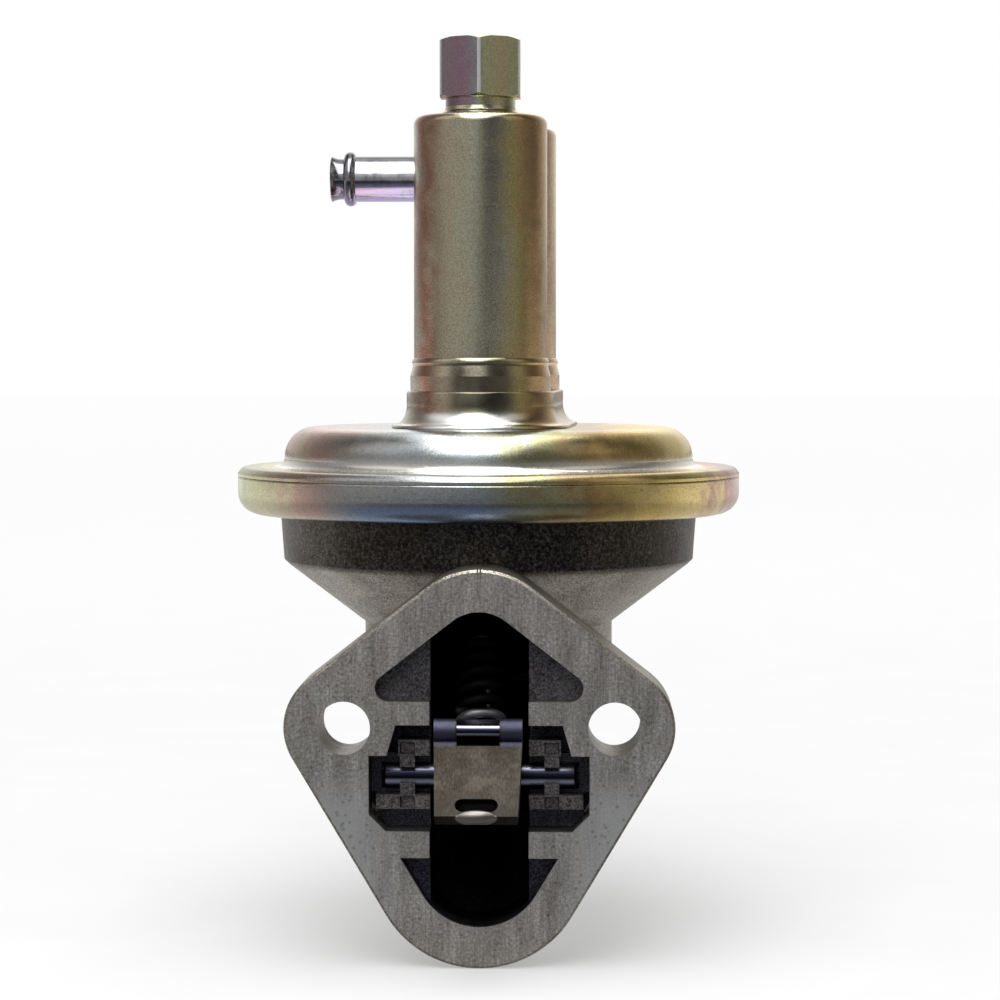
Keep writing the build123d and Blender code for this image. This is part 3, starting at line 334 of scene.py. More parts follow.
def cast_alloy():
    """Die cast aluminium: dull skin, milled mounting face, and painted shade that makes the inside near
    black and the top of the bowl almost black.
    """
    s = Surface("cast_alloy")
    nx, ny, nz = s.split(s.normal)
    side = s.off(s.x)
    grain = s.noise(0.5, detail=4.0, rough=0.7)
    flow = s.noise(9.0, detail=3.0, warp=0.8)
    blotch = s.noise(0.7, detail=4.0, rough=0.75)
    sand = s.noise(0.32, detail=2.0, rough=0.8)
    pores = s.spans(s.pits(1.5), 0.10, 0.30)
    parting_line = s.times(s.spans(side, 0.45, 0.1), s.spans(s.z, 24.0, 26.0))

    # Skin as cast, with painted shade under the rim that makes it almost black round the top of the bowl,
    # darkest in the middle
    skin = s.ramp(
        s.math("MULTIPLY_ADD", flow, 0.25, s.times(sand, 0.75)),
        (0.38, srgb(96, 90, 80)),
        (0.50, srgb(158, 151, 140)),
        (0.60, srgb(204, 199, 190)),
    )
    skin = s.mix(s.times(s.spans(s.x, 12.0, 34.0), 0.35), skin, srgb(112, 100, 80))
    upper = s.times(s.spans(s.z, 26.6, 28.4), s.spans(nz, 0.35, 0.15), s.spans(s.y, 5.8, 6.6))
    upper = s.times(upper, s.spans(blotch, 0.40, 0.64, 0.97, 0.72), s.spans(s.x, -22.0, -36.0, 1.0, 0.87))
    under_rim_shade = s.mix(s.spans(s.off(s.x, 3.0), 8.0, 20.0), srgb(12, 10, 11), srgb(34, 27, 20))
    skin = s.mix(upper, skin, under_rim_shade)

    # Milled mounting face, with a painted reflection that makes both lower sides paler
    milled = s.times(s.spans(ny, -0.98, -0.995), s.spans(s.y, 0.6, 0.3))
    cut = s.noise(0.3, detail=3.0, rough=0.6, stretch=(1, 1, 0.03))
    wide_cut = s.noise(3.0, detail=3.0, rough=0.6, stretch=(1, 1, 0.25))
    fleck = s.noise(0.55, detail=3.0, rough=0.85)
    face = s.ramp(
        s.math("MULTIPLY_ADD", cut, 0.2, s.math("MULTIPLY_ADD", wide_cut, 0.25, s.times(fleck, 0.55))),
        (0.36, srgb(124, 119, 114)),
        (0.50, srgb(186, 181, 174)),
        (0.62, srgb(238, 234, 228)),
    )
    painted_bright = s.times(s.spans(side, 13.0, 25.0), s.spans(s.z, -7.0, -16.0))
    face = s.mix(s.times(painted_bright, 0.75), face, srgb(222, 222, 221))
    colour = s.mix(milled, skin, face)

    # Recesses in the flange: inside its outline, clear of the bolt holes and not on its back. There the
    # colour turns darker and bluish as cast, with painted shade that grows inwards and low down, a little
    # less on the lugs
    within = s.math("LESS_THAN", s.z, RECESS_TOP)
    for centre, radius in ((FLANGE_TOP, FLANGE_TOP_R), (FLANGE_BOTTOM, FLANGE_BOTTOM_R)):
        across, up, distance = tangent((BOLT_X, 0.0), EAR_R - RECESS_INSET, centre, radius - RECESS_INSET)
        reach = s.math("MULTIPLY_ADD", side, across, s.times(s.z, up))
        within = s.times(within, s.math("LESS_THAN", reach, distance))
    outward = s.math("MULTIPLY_ADD", nx, s.x, s.times(nz, s.math("SUBTRACT", s.z, SLOT_MIDDLE)))
    inward = s.spans(outward, 0.6, 0.2)
    inner_wall = s.times(inward, s.spans(ny, 0.3, 0.1))
    from_bolt = s.vector("LENGTH", s.join(s.math("SUBTRACT", side, BOLT_X), s.z, 0.0))
    recess = s.times(
        within,
        s.spans(s.y, 0.4, 1.4),
        s.math("LESS_THAN", s.y, FLANGE_THICKNESS + 0.1),
        s.math("MAXIMUM", inner_wall, s.spans(s.y, 8.6, 8.2)),
        s.math("GREATER_THAN", from_bolt, BOLT_EDGE_R),
    )
    shade = s.math("MAXIMUM", s.spans(s.y, 1.0, 9.5, 0.66, 0.97), s.spans(s.z, -14.0, -22.0, 0.0, 0.98))
    lug = s.times(s.spans(side, CHAMBER_HALF, CHAMBER_HALF + 0.5), s.spans(s.y, 7.0, 5.5))
    lug = s.times(lug, s.spans(s.z, -17.5, -16.5), s.spans(s.z, 2.5, 1.5))
    shade = s.times(recess, shade, s.math("MULTIPLY_ADD", lug, -0.1, 1.0))
    hollow = s.mix(s.spans(sand, 0.38, 0.62), srgb(26, 26, 36), srgb(78, 78, 92))
    colour = s.mix(shade, colour, hollow)

    # Painted shade: the inside of the rocker slot and of the chamber behind it is painted near black
    near = s.times(s.spans(s.y, 3.0, 8.0), s.math("LESS_THAN", s.y, SLOT_BACK), s.between(s.z, *SLOT_Z))
    far = s.times(s.between(s.y, SLOT_BACK - 0.1, CHAMBER_BACK), s.between(s.z, *CHAMBER_Z))
    deep = s.times(s.math("MAXIMUM", near, far), s.math("LESS_THAN", side, CHAMBER_HALF), inward)
    colour = s.mix(deep, colour, srgb(3, 3, 4))
    colour = s.mix(s.times(s.math("SUBTRACT", 1.0, pores), 0.35), colour, srgb(50, 47, 45))

    roughness = s.math("MULTIPLY_ADD", grain, 0.12, 0.36)
    roughness = s.math("MULTIPLY_ADD", recess, 0.1, roughness)
    roughness = s.math("MULTIPLY_ADD", deep, 0.2, roughness)
    metallic = s.math("MULTIPLY_ADD", deep, -0.1, 0.95)
    as_cast = s.math("SUBTRACT", 1.0, milled)
    relief = s.bump(s.times(grain, as_cast), 0.07)
    relief = s.bump(s.times(flow, as_cast), 0.25, relief)
    relief = s.bump(parting_line, 0.25, relief)
    relief = s.bump(s.times(cut, milled), 0.012, relief)
    relief = s.bump(s.times(pores, as_cast), 0.04, relief)
    return s.finish(colour, roughness, relief, metallic)


def plain_metal(name, dark, middle, light, roughness, grain, size):
    """Metal with clouded tone, fine tooling lines and small worn marks."""
    s = Surface(name)
    cloud = s.noise(size, detail=4.0, rough=0.6, warp=0.5)
    line = s.noise(0.22, detail=2.0)
    mark = s.spans(s.noise(0.8, detail=4.0, rough=0.75), 0.58, 0.72)
    colour = s.ramp(cloud, (0.32, dark), (0.5, middle), (0.68, light))
    colour = s.mix(s.times(mark, 0.35), colour, dark)
    tone = s.math("MULTIPLY_ADD", cloud, 0.12, roughness - 0.06)
    relief = s.bump(line, grain)
    relief = s.bump(s.noise(1.6, detail=2.0), 0.02, relief)
    return s.finish(colour, tone, relief, metallic=1.0)


def nipple_plate():
    """Bright zinc plate, with a painted dark reflection along the top, a lilac film underneath and a
    darker lip.
    """
    s = Surface("bright_plate")
    nz = s.split(s.normal)[2]
    cloud = s.noise(3.0, detail=4.0, rough=0.6, warp=0.5)
    line = s.noise(0.22, detail=2.0, stretch=(0.1, 1, 1))
    colour = s.ramp(
        cloud,
        (0.32, srgb(150, 150, 156)),
        (0.50, srgb(196, 196, 200)),
        (0.68, srgb(216, 216, 218)),
    )
    under = s.times(s.spans(nz, -0.10, -0.45), s.spans(cloud, 0.25, 0.6, 0.5, 0.95))
    colour = s.mix(under, colour, srgb(186, 172, 214))
    mark = s.spans(s.noise(0.8, detail=4.0, rough=0.75), 0.6, 0.72)
    colour = s.mix(s.times(mark, 0.3), colour, srgb(120, 118, 122))
    colour = s.mix(s.spans(s.x, -28.3, -28.9, 0.0, 0.6), colour, srgb(96, 96, 102))
    # Painted dark reflection on the faces that look up
    colour = s.mix(s.spans(nz, 0.64, 0.76, 0.0, 0.94), colour, srgb(26, 26, 30))
    tone = s.math("MULTIPLY_ADD", cloud, 0.1, 0.12)
    return s.finish(colour, tone, s.bump(line, 0.004), metallic=1.0)


def arm_plate():
    """Dark pressed steel: brown-grey web, flanks made lighter by painted light, painted shade towards the
    bottom, blued knuckles and a painted highlight on the pad.
    """
    s = Surface("pressed_steel")
    nx = s.split(s.normal)[0]
    cloud = s.noise(5.0, detail=3.0, rough=0.55, warp=0.4)
    fine = s.noise(0.3, detail=3.0, rough=0.7, stretch=(1, 0.4, 0.4))
    colour = s.ramp(
        s.math("MULTIPLY_ADD", cloud, 0.5, s.times(fine, 0.5)),
        (0.38, srgb(44, 40, 35)),
        (0.50, srgb(57, 53, 47)),
        (0.62, srgb(76, 72, 65)),
    )
    # Painted light: the flanks are made lighter
    flank = s.spans(s.off(nx), 0.7, 0.95)
    flank_colour = s.mix(cloud, srgb(104, 100, 92), srgb(150, 146, 138))
    colour = s.mix(s.times(flank, 0.85), colour, flank_colour)
    # Painted shade: darker towards the bottom
    lower = s.spans(s.z, -9.5, -14.5)
    colour = s.mix(s.times(lower, 0.6), colour, srgb(50, 48, 45))
    knuckle = s.times(s.spans(s.z, -2.8, -2.0), s.spans(s.y, 8.5, 7.0), s.spans(s.off(s.x), 4.0, 4.4))
    blued = s.times(knuckle, s.spans(fine, 0.3, 0.6, 0.6, 0.95))
    colour = s.mix(blued, colour, srgb(76, 76, 95))
    across = s.math("DIVIDE", s.x, 3.9)
    up = s.math("DIVIDE", s.math("ADD", s.z, 14.4), 1.45)
    oval = s.math("ADD", s.times(across, across), s.times(up, up))
    # Painted highlight on the pad at the tip, which is also smoother
    pad = s.times(s.spans(oval, 1.05, 0.85), s.spans(s.y, -11.5, -12.5))
    colour = s.mix(s.times(pad, 0.9), colour, srgb(140, 136, 130))
    tone = s.math("MULTIPLY_ADD", cloud, 0.12, s.math("MULTIPLY_ADD", pad, -0.12, 0.42))
    relief = s.bump(fine, 0.01)
    relief = s.bump(s.noise(1.6, detail=2.0), 0.015, relief)
    return s.finish(colour, tone, relief, metallic=1.0)


def ground_pin():
    """Hardened pin coloured by the slope of its surface: painted dark bluish bands and two painted
    highlight lines along it.
    """
    s = Surface("hardened_steel")
    nz = s.split(s.normal)[2]
    line = s.noise(0.3, detail=3.0, rough=0.7, stretch=(0.06, 1, 1))
    turn = s.math("MULTIPLY_ADD", nz, 0.5, s.math("MULTIPLY_ADD", line, 0.06, 0.47))
    # Painted light and shade by how far the surface faces up: highlights at two slopes, dark bands between
    colour = s.ramp(
        turn,
        (0.18, srgb(38, 38, 50)),
        (0.28, srgb(150, 152, 178)),
        (0.36, srgb(160, 162, 182)),
        (0.46, srgb(30, 30, 42)),
        (0.74, srgb(40, 40, 54)),
        (0.84, srgb(168, 170, 184)),
        (0.92, srgb(176, 178, 190)),
        (0.99, srgb(70, 70, 84)),
    )
    return s.finish(colour, s.spans(line, 0.3, 0.7, 0.24, 0.34), s.bump(line, 0.004), metallic=1.0)


def seat_coil():
    """Spring wire painted near black as painted shade, with the turn next to the seat painted light grey
    as painted light.
    """
    s = Surface("painted_dark_spring_wire")
    cloud = s.noise(2.0, detail=4.0, rough=0.6)
    # Painted shade: the wire is near black
    colour = s.ramp(cloud, (0.35, srgb(8, 8, 9)), (0.65, srgb(16, 16, 18)))
    # Painted light on the turn next to the seat
    painted_bright = s.times(s.spans(s.z, 3.2, 2.2), s.spans(s.y, 9.5, 7.5))
    colour = s.mix(painted_bright, colour, srgb(176, 176, 178))
    roughness = s.spans(painted_bright, 0.0, 1.0, 0.65, 0.34)
    return s.finish(colour, roughness, s.bump(s.noise(0.3, detail=2.0), 0.006), metallic=0.9)


def rubber(name, dark, light):
    """Moulded rubber with a matt bloom and fine cloth grain."""
    s = Surface(name)
    cloud = s.noise(4.0, detail=4.0, rough=0.6)
    warp, weft = [s.math("SINE", s.times(along, 7.0)) for along in (s.x, s.y)]
    colour = s.ramp(cloud, (0.35, dark), (0.7, light))
    relief = s.bump(s.times(warp, weft), 0.01)
    relief = s.bump(s.noise(0.5, detail=3.0), 0.02, relief)
    return s.finish(colour, s.spans(cloud, 0.3, 0.7, 0.55, 0.75), relief, metallic=0.0)


def gasket_fibre():
    """Pressed fibre sheet with short strands."""
    s = Surface("gasket_fibre")
    strand = s.noise(0.5, detail=5.0, rough=0.8, warp=2.0)
    colour = s.ramp(
        strand,
        (0.35, srgb(86, 70, 52)),
        (0.55, srgb(128, 108, 82)),
        (0.70, srgb(158, 140, 112)),
    )
    return s.finish(colour, s.spans(strand, 0.3, 0.7, 0.7, 0.9), s.bump(strand, 0.03), metallic=0.0)


def brass_gauze():
    """Fine woven wire, tinned by age."""
    s = Surface("brass_gauze")
    turn = s.math("ARCTAN2", s.math("SUBTRACT", s.y, INLET[1]), s.math("SUBTRACT", s.x, INLET[0]))
    warp = s.math("SINE", s.times(turn, 110.0))
    weft = s.math("SINE", s.times(s.z, 12.5))
    mesh = s.times(warp, weft)
    colour = s.mix(s.spans(mesh, -0.6, 0.4), srgb(84, 66, 34), srgb(196, 166, 98))
    return s.finish(colour, s.spans(s.noise(3.0), 0.3, 0.7, 0.28, 0.45), s.bump(mesh, 0.04), metallic=1.0)


def smooth(mesh, angle):
    """Shades the mesh smooth, apart from edges that turn by more than angle degrees."""
    mesh.shade_smooth()
    mesh.set_sharp_from_angle(angle=math.radians(angle))


def place(bm, name, body, slot, material, replaced=(), angle=32.0):
    """Turns the mesh into a piece that rides on a body of the pump."""
    bmesh.ops.remove_doubles(bm, verts=bm.verts, dist=1e-7)
    bmesh.ops.recalc_face_normals(bm, faces=bm.faces)
    mesh = bpy.data.meshes.new(name)
    bm.to_mesh(mesh)
    bm.free()
    smooth(mesh, angle)
    piece = bpy.data.objects.new(name, mesh)
    bpy.context.scene.collection.objects.link(piece)
    mesh.materials.append(material)
    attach(piece, body)
    if replaced:
        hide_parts(*replaced)
    return piece


def rounded(corners, steps=9):
    """Path through (across, up, radius) corners with every corner rounded to its radius."""
    path = []
    for i, (across, up, radius) in enumerate(corners):
        here = Vector((across, up))
        if radius <= 0:
            path.append((across, up))
            continue
        back = (Vector(corners[i - 1][:2]) - here).normalized()
        ahead = (Vector(corners[i + 1][:2]) - here).normalized()
        half = back.angle(ahead) / 2
        centre = here + (back + ahead).normalized() * (radius / math.sin(half))
        start = here + back * (radius / math.tan(half)) - centre
        end = here + ahead * (radius / math.tan(half)) - centre
        first = math.atan2(start.y, start.x)
        sweep = math.atan2(start.x * end.y - start.y * end.x, start.dot(end))
        for k in range(steps + 1):
            angle = first + sweep * k / steps
            path.append((centre.x + radius * math.cos(angle), centre.y + radius * math.sin(angle)))
    return path


def turned(rows, centre, segments, closed=True, phase=0.0):
    """Mesh from rows of (radius, height) about an upright axis. A row may depend on the angle."""
    bm = bmesh.new()
    origin = Vector(centre)
    rings = []
    for row in rows:
        ring = []
        for i in range(segments):
            angle = math.tau * (i + phase) / segments
            radius, height = row(angle) if callable(row) else row
            if radius < 1e-6 and ring:
                ring.append(ring[0])
                continue
            point = Vector((radius * math.cos(angle), radius * math.sin(angle), height))
            ring.append(bm.verts.new((origin + point) * MM))
        rings.append(ring)
    pairs = list(zip(rings, rings[1:]))
    if closed:
        pairs.append((rings[-1], rings[0]))
    for low, high in pairs:
        for i in range(segments):
            j = (i + 1) % segments
            corners = []
            for vertex in (low[i], low[j], high[j], high[i]):
                if vertex not in corners:
                    corners.append(vertex)
            if len(corners) > 2:
                bm.faces.new(corners)
    return bm


def wire(points, radius, sides):
    """Round wire swept along points, with flat ends."""
    bm = bmesh.new()
    rings = []
    up = None
    count = len(points)
    for i, point in enumerate(points):
        ahead = points[min(i + 1, count - 1)]
        behind = points[max(i - 1, 0)]
        along = (ahead - behind).normalized()
        if up is None:
            up = along.orthogonal().normalized()
        up = (up - along * up.dot(along)).normalized()
        side = along.cross(up)
        ring = []
        for k in range(sides):
            angle = math.tau * k / sides
            offset = (up * math.cos(angle) + side * math.sin(angle)) * radius
            ring.append(bm.verts.new((point + offset) * MM))
        rings.append(ring)
    for low, high in zip(rings, rings[1:]):
        for k in range(sides):
            bm.faces.new((low[k], low[(k + 1) % sides], high[(k + 1) % sides], high[k]))
    bm.faces.new(rings[0])
    bm.faces.new(rings[-1])
    return bm


def spring(foot, axis, length, mean, wire_r, turns, closed_turns=1.0, per_turn=40):
    """Centre line of a compression spring whose end turns lie closed."""
    spin = Vector((0, 0, 1)).rotation_difference(Vector(axis)).to_matrix()
    inner = length - 2 * wire_r
    flat = closed_turns * 2 * wire_r * 1.02
    open_turns = turns - 2 * closed_turns
    points = []
    for i in range(int(turns * per_turn) + 1):
        t = i / per_turn
        if t < closed_turns:
            height = flat * t / closed_turns
        elif t > turns - closed_turns:
            height = inner - flat * (turns - t) / closed_turns
        else:
            height = flat + (inner - 2 * flat) * (t - closed_turns) / open_turns
        angle = math.tau * t
        local = Vector((mean * math.cos(angle), mean * math.sin(angle), wire_r + height))
        points.append(Vector(foot) + spin @ local)
    return points


# Materials
zinc_tower = plated_steel("zinc_plate_drawn", (-16, 16), "along", [
    (0.04, srgb(210, 206, 188)),
    (0.16, srgb(190, 138, 118)),
    (0.26, srgb(204, 188, 160)),
    (0.42, srgb(198, 196, 172)),
    (0.56, srgb(184, 180, 158)),
    (0.70, srgb(188, 174, 120)),
    (0.82, srgb(194, 158, 110)),
    (0.98, srgb(204, 182, 142)),
], painted_band=(59.5, 68.5))
zinc_rear = plated_steel("zinc_plate_rear", (-16, 16), "along", [
    (0.04, srgb(210, 206, 188)),
    (0.20, srgb(196, 160, 136)),
    (0.45, srgb(196, 188, 160)),
    (0.70, srgb(214, 176, 128)),
    (0.86, srgb(236, 196, 160)),
    (0.98, srgb(226, 218, 172)),
])
zinc_cover = plated_steel("zinc_plate_spun", (-52, 52), "round", [
    (0.03, srgb(204, 204, 162)),
    (0.14, srgb(208, 174, 160)),
    (0.26, srgb(186, 184, 178)),
    (0.46, srgb(184, 192, 198)),
    (0.58, srgb(178, 176, 136)),
    (0.70, srgb(168, 138, 92)),
    (0.80, srgb(222, 192, 118)),
    (0.87, srgb(236, 212, 146)),
    (0.93, srgb(190, 152, 134)),
    (0.98, srgb(196, 152, 144)),
])
zinc_fitting = plated_steel("zinc_plate_turned", (-9.5, 7), "along", [
    (0.05, srgb(156, 148, 150)),
    (0.30, srgb(172, 136, 152)),
    (0.46, srgb(164, 162, 168)),
    (0.56, srgb(204, 206, 164)),
    (0.78, srgb(212, 196, 150)),
    (0.95, srgb(196, 194, 152)),
], worn=(OUTLET, 8.93))
alloy = cast_alloy()
bright = nipple_plate()
arm_steel = arm_plate()
pin_steel = ground_pin()
seat_wire = seat_coil()
wire_steel = plain_metal(
    "spring_wire", srgb(70, 70, 74), srgb(104, 104, 110), srgb(136, 136, 142),
    roughness=0.34, grain=0.006, size=2.0,
)
die_zinc = plain_metal(
    "die_cast_zinc", srgb(96, 96, 98), srgb(138, 138, 140), srgb(168, 168, 170),
    roughness=0.45, grain=0.03, size=5.0,
)
black_rubber = rubber("nitrile_rubber", srgb(22, 22, 23), srgb(48, 47, 46))
fibre = gasket_fibre()
gauze = brass_gauze()

# Material of each node that keeps its CAD mesh
FINISH = {
    "lower_body": alloy,
    "outlet_canister": zinc_tower,
    "inlet_canister": zinc_rear,
    "upper_plate": zinc_cover,
    "lower_plate": zinc_cover,
    "seal_retainer": zinc_cover,
    "inlet_nipple": bright,
    "pull_rod": bright,
    "strainer": gauze,
    "valve_gasket": fibre,
    "valve_plate": die_zinc,
    "outlet_valve_cage": die_zinc,
    "inlet_valve_cage": die_zinc,
    "outlet_valve_disc": black_rubber,
    "inlet_valve_disc": black_rubber,
    "oil_seal": black_rubber,
    "pivot_pin": pin_steel,
    "spring_seat": pin_steel,
    "rocker_arm": arm_steel,
    "link_lever": arm_steel,
}
for node, material in FINISH.items():
    mesh = nodes[node].data
    mesh.materials.clear()
    mesh.materials.append(material)

# Cover: dome, groove and the rim rolled under the casting's edge, with a fine seam round it
cover_outside = rounded([
    (0, DOME_TOP, 0),
    (DOME_R, DOME_TOP, 6.3),
    (DOME_R, RIM_TOP, 1.7),
    (RIM_R, RIM_TOP, 1.9),
    (RIM_R, SEAM_Z + 0.4, 0.3),
    (RIM_R - 0.22, SEAM_Z, 0.3),
    (RIM_R, SEAM_Z - 0.4, 0.3),
    (RIM_R, RIM_BOTTOM, 4.2),
    (RIM_R - RIM_LIP, RIM_BOTTOM, 0),
])
cover_inside = rounded([
    (RIM_R - RIM_LIP, RIM_BOTTOM + SHEET, 0),
    (RIM_R - SHEET, RIM_BOTTOM + SHEET, 2.7),
    (RIM_R - SHEET, RIM_TOP - SHEET, 0.5),
    (DOME_R - SHEET, RIM_TOP - SHEET, 3.2),
    (DOME_R - SHEET, DOME_TOP - SHEET, 4.8),
    (0, DOME_TOP - SHEET, 0),
])
cover = turned(cover_outside + cover_inside, (0, AXIS_Y, 0), segments=240, closed=False)
place(cover, "cover_pressing", "housing", "zinc_plated_steel", zinc_cover, ["upper_cover"])


# Outlet fitting: chamfered hexagon on a round neck, with the flare thread inside
def hexagon(angle):
    """Distance from the axis to the hexagon's side, or to its trimmed corner."""
    part = (angle + math.radians(30)) % math.radians(60) - math.radians(30)
    return min(HEX_R / math.cos(part), HEX_R * 1.139)


def hex_side(height, chamfer_r, direction):
    """Row along an end of the hexagon, whose corners are chamfered beyond chamfer_r."""
    def row(angle):
        radius = hexagon(angle)
        return radius, height + direction * max(0.0, radius - chamfer_r) * math.tan(math.radians(30))
    return row


def thread_row(step, steps, top, pitch=1.27, crest=5.45, root=6.1):
    """Row of the thread, an eighth of its pitch further down with each step."""
    def row(angle):
        height = top - step * pitch / 8
        phase = (step / 8 + angle / math.tau) % 1.0
        ridge = 1 - abs(2 * phase - 1)
        fade = min(1.0, step / 6, (steps - step) / 6)
        return root - (root - crest) * ridge * fade, height
    return row


# Up the outside, down the thread to the flare seat, and through the bore
THREAD_STEPS = 40
SPIGOT_R = NECK_R - 1.05
SPIGOT_END = CANISTER_TOP - 3.0
rows = [(NECK_R, CANISTER_TOP), (NECK_R, HEX_BOTTOM - 0.25), (NECK_R + 0.25, HEX_BOTTOM)]
rows += [(HEX_R - 0.1, HEX_BOTTOM), hex_side(HEX_BOTTOM, HEX_R + 0.35, 1)]
rows += [hex_side(HEX_TOP, HEX_R + 0.2, -1), (HEX_R - 0.1, HEX_TOP), (6.6, HEX_TOP), (6.1, HEX_TOP - 0.5)]
rows += [thread_row(i, THREAD_STEPS, HEX_TOP - 0.5) for i in range(THREAD_STEPS + 1)]
rows += [(5.65, 125.6), (4.9, 125.6), (4.9, 123.0), (4.0, 123.0), (3.2, 125.3), (2.8, 125.3)]
rows += [(2.8, SPIGOT_END), (SPIGOT_R, SPIGOT_END), (SPIGOT_R, CANISTER_TOP)]
fitting = turned(rows, (*OUTLET, 0), segments=144, phase=0.5)
place(fitting, "flare_fitting", "housing", "zinc_plated_steel", zinc_fitting, ["outlet_fitting"], angle=20)

# Braze fillets where the neck meets the canister and where the nipple enters its side
neck_braze = rounded([
    (NECK_R + 0.02, CANISTER_TOP + 1.7, 0),
    (NECK_R + 0.22, CANISTER_TOP + 0.75, 0.6),
    (NECK_R + 4.2, CANISTER_TOP + 0.02, 0),
    (NECK_R + 0.02, CANISTER_TOP + 0.02, 0),
])
braze = turned(neck_braze, (*OUTLET, 0), segments=96)
place(braze, "neck_braze", "housing", "zinc_plated_steel", zinc_tower)


def nipple_row(radius, lift):
    """Ring round the nipple that follows the canister's curved side, lift millimetres out of it."""
    def row(angle):
        along = math.sqrt(CANISTER_R ** 2 - (radius * math.sin(angle)) ** 2)
        return radius, along + lift
    return row


braze_rows = [
    nipple_row(NIPPLE_R + 0.03, 0.02),
    nipple_row(NIPPLE_R + 0.03, 1.1),
    nipple_row(NIPPLE_R + 0.16, 0.62),
    nipple_row(NIPPLE_R + 0.42, 0.30),
    nipple_row(NIPPLE_R + 0.80, 0.10),
    nipple_row(NIPPLE_R + 1.25, 0.02),
]
braze = turned(braze_rows, (0, 0, 0), segments=96)
for angle, axis in ((-90, "Y"), (90, "X")):
    rotation = Matrix.Rotation(math.radians(angle), 3, axis)
    bmesh.ops.rotate(braze, verts=braze.verts, cent=(0, 0, 0), matrix=rotation)
bmesh.ops.translate(braze, verts=braze.verts, vec=Vector((*INLET, NIPPLE_Z)) * MM)
place(braze, "nipple_braze", "housing", "zinc_plated_steel", zinc_tower)

# Twin collar: smooth flare at its foot, eased lip and a socket round each canister
COLLAR_TOP = 62.6
SOCKETS = ((OUTLET, 14.05), (INLET, 13.35))
SOCKET_GAP = 0.05
PORT_R = 8.6
reach = Vector(INLET) - Vector(OUTLET)
facing = math.atan2(reach.y, reach.x)
turn_off = math.acos((SOCKETS[0][1] - SOCKETS[1][1]) / reach.length)
ARCS = ((facing + turn_off, facing - turn_off + math.tau), (facing - turn_off, facing + turn_off))
ARC_STEPS = 72


def arc(index, radius, inner=False):
    """Points of a socket's circle along its outer arc, or along the rest of it."""
    first, last = ARCS[index]
    if inner:
        first, last = last, first + math.tau
    centre = SOCKETS[index][0]
    angles = [first + (last - first) * i / ARC_STEPS for i in range(ARC_STEPS + 1)]
    return [(centre[0] + radius * math.cos(t), centre[1] + radius * math.sin(t)) for t in angles]


def ring_of(bm, points, height):
    """Vertices at one height, from points in millimetres."""
    return [bm.verts.new(Vector((x, y, height)) * MM) for x, y in points]


def band(bm, low, high):
    """Closed band of faces between two rings of as many vertices."""
    for i in range(len(low)):
        j = (i + 1) % len(low)
        bm.faces.new((low[i], low[j], high[j], high[i]))


def hull_ring(bm, offset, height):
    """Ring round both sockets, offset outwards from them."""
    return ring_of(bm, arc(0, SOCKETS[0][1] + offset) + arc(1, SOCKETS[1][1] + offset), height)


def circle_ring(bm, index, radius, height):
    """Full circle round one canister, which starts where its outer arc does."""
    return ring_of(bm, arc(index, radius) + arc(index, radius, inner=True)[1:-1], height)


def deck(bm, outline, first, second):
    """Flat face between the twin outline and a circle round each canister."""
    count = ARC_STEPS + 1
    for side, circle in ((outline[:count], first), (outline[count:], second)):
        for i in range(ARC_STEPS):
            bm.faces.new((side[i], side[i + 1], circle[i + 1], circle[i]))
    waist = [outline[count - 1], outline[count]]
    waist += [second[0]] + second[:ARC_STEPS:-1] + [second[ARC_STEPS]]
    waist += [outline[-1], outline[0]]
    waist += [first[0]] + first[:ARC_STEPS:-1] + [first[ARC_STEPS]]
    bm.faces.new(waist)


collar = bmesh.new()
FOOT = 3.62
FOOT_BULGE = 0.13
FOOT_HEIGHT = 0.62
WALL = 0.75
FLARE_HEIGHT = 4.5
FLARE_STEPS = 12
profile = [
    (FOOT, DOME_TOP),
    (FOOT + FOOT_BULGE, DOME_TOP + 0.13),
    (FOOT + FOOT_BULGE, DOME_TOP + 0.45),
    (FOOT, DOME_TOP + FOOT_HEIGHT),
]
for i in range(1, FLARE_STEPS + 1):
    angle = math.radians(90) * i / FLARE_STEPS
    offset = FOOT - (FOOT - WALL) * math.sin(angle)
    height = FLARE_HEIGHT - (FLARE_HEIGHT - FOOT_HEIGHT) * math.cos(angle)
    profile.append((offset, DOME_TOP + height))
for inwards, down in ((0.0, 0.42), (0.07, 0.18), (0.23, 0.03), (0.35, 0.0)):
    profile.append((WALL - inwards, COLLAR_TOP - down))
rings = [hull_ring(collar, offset, height) for offset, height in profile]
for low, high in zip(rings, rings[1:]):
    band(collar, low, high)
SOCKET_FLOOR = DOME_TOP + 1.5
lips = [circle_ring(collar, i, SOCKETS[i][1] + SOCKET_GAP, COLLAR_TOP) for i in (0, 1)]
deck(collar, rings[-1], *lips)
bases = [circle_ring(collar, i, PORT_R, DOME_TOP) for i in (0, 1)]
deck(collar, rings[0], *bases)
for i in (0, 1):
    corner = circle_ring(collar, i, SOCKETS[i][1] + SOCKET_GAP, SOCKET_FLOOR)
    edge = circle_ring(collar, i, PORT_R, SOCKET_FLOOR)
    band(collar, lips[i], corner)
    band(collar, corner, edge)
    band(collar, edge, bases[i])
place(collar, "brazed_collar", "housing", "zinc_plated_steel", zinc_tower, ["canister_collar"], angle=40)

# Return spring of the rocker arm, closed and ground at both ends
spring_axis = (0, math.sin(SPRING_TILT), math.cos(SPRING_TILT))
coil = spring(SPRING_FOOT, spring_axis, SPRING_LENGTH, SPRING_MEAN_R, SPRING_WIRE_R, SPRING_TURNS)
coil = wire(coil, SPRING_WIRE_R, sides=18)
arm_spring = place(coil, "return_spring", "housing", "spring_steel", seat_wire, ["arm_spring"])
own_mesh(arm_spring)

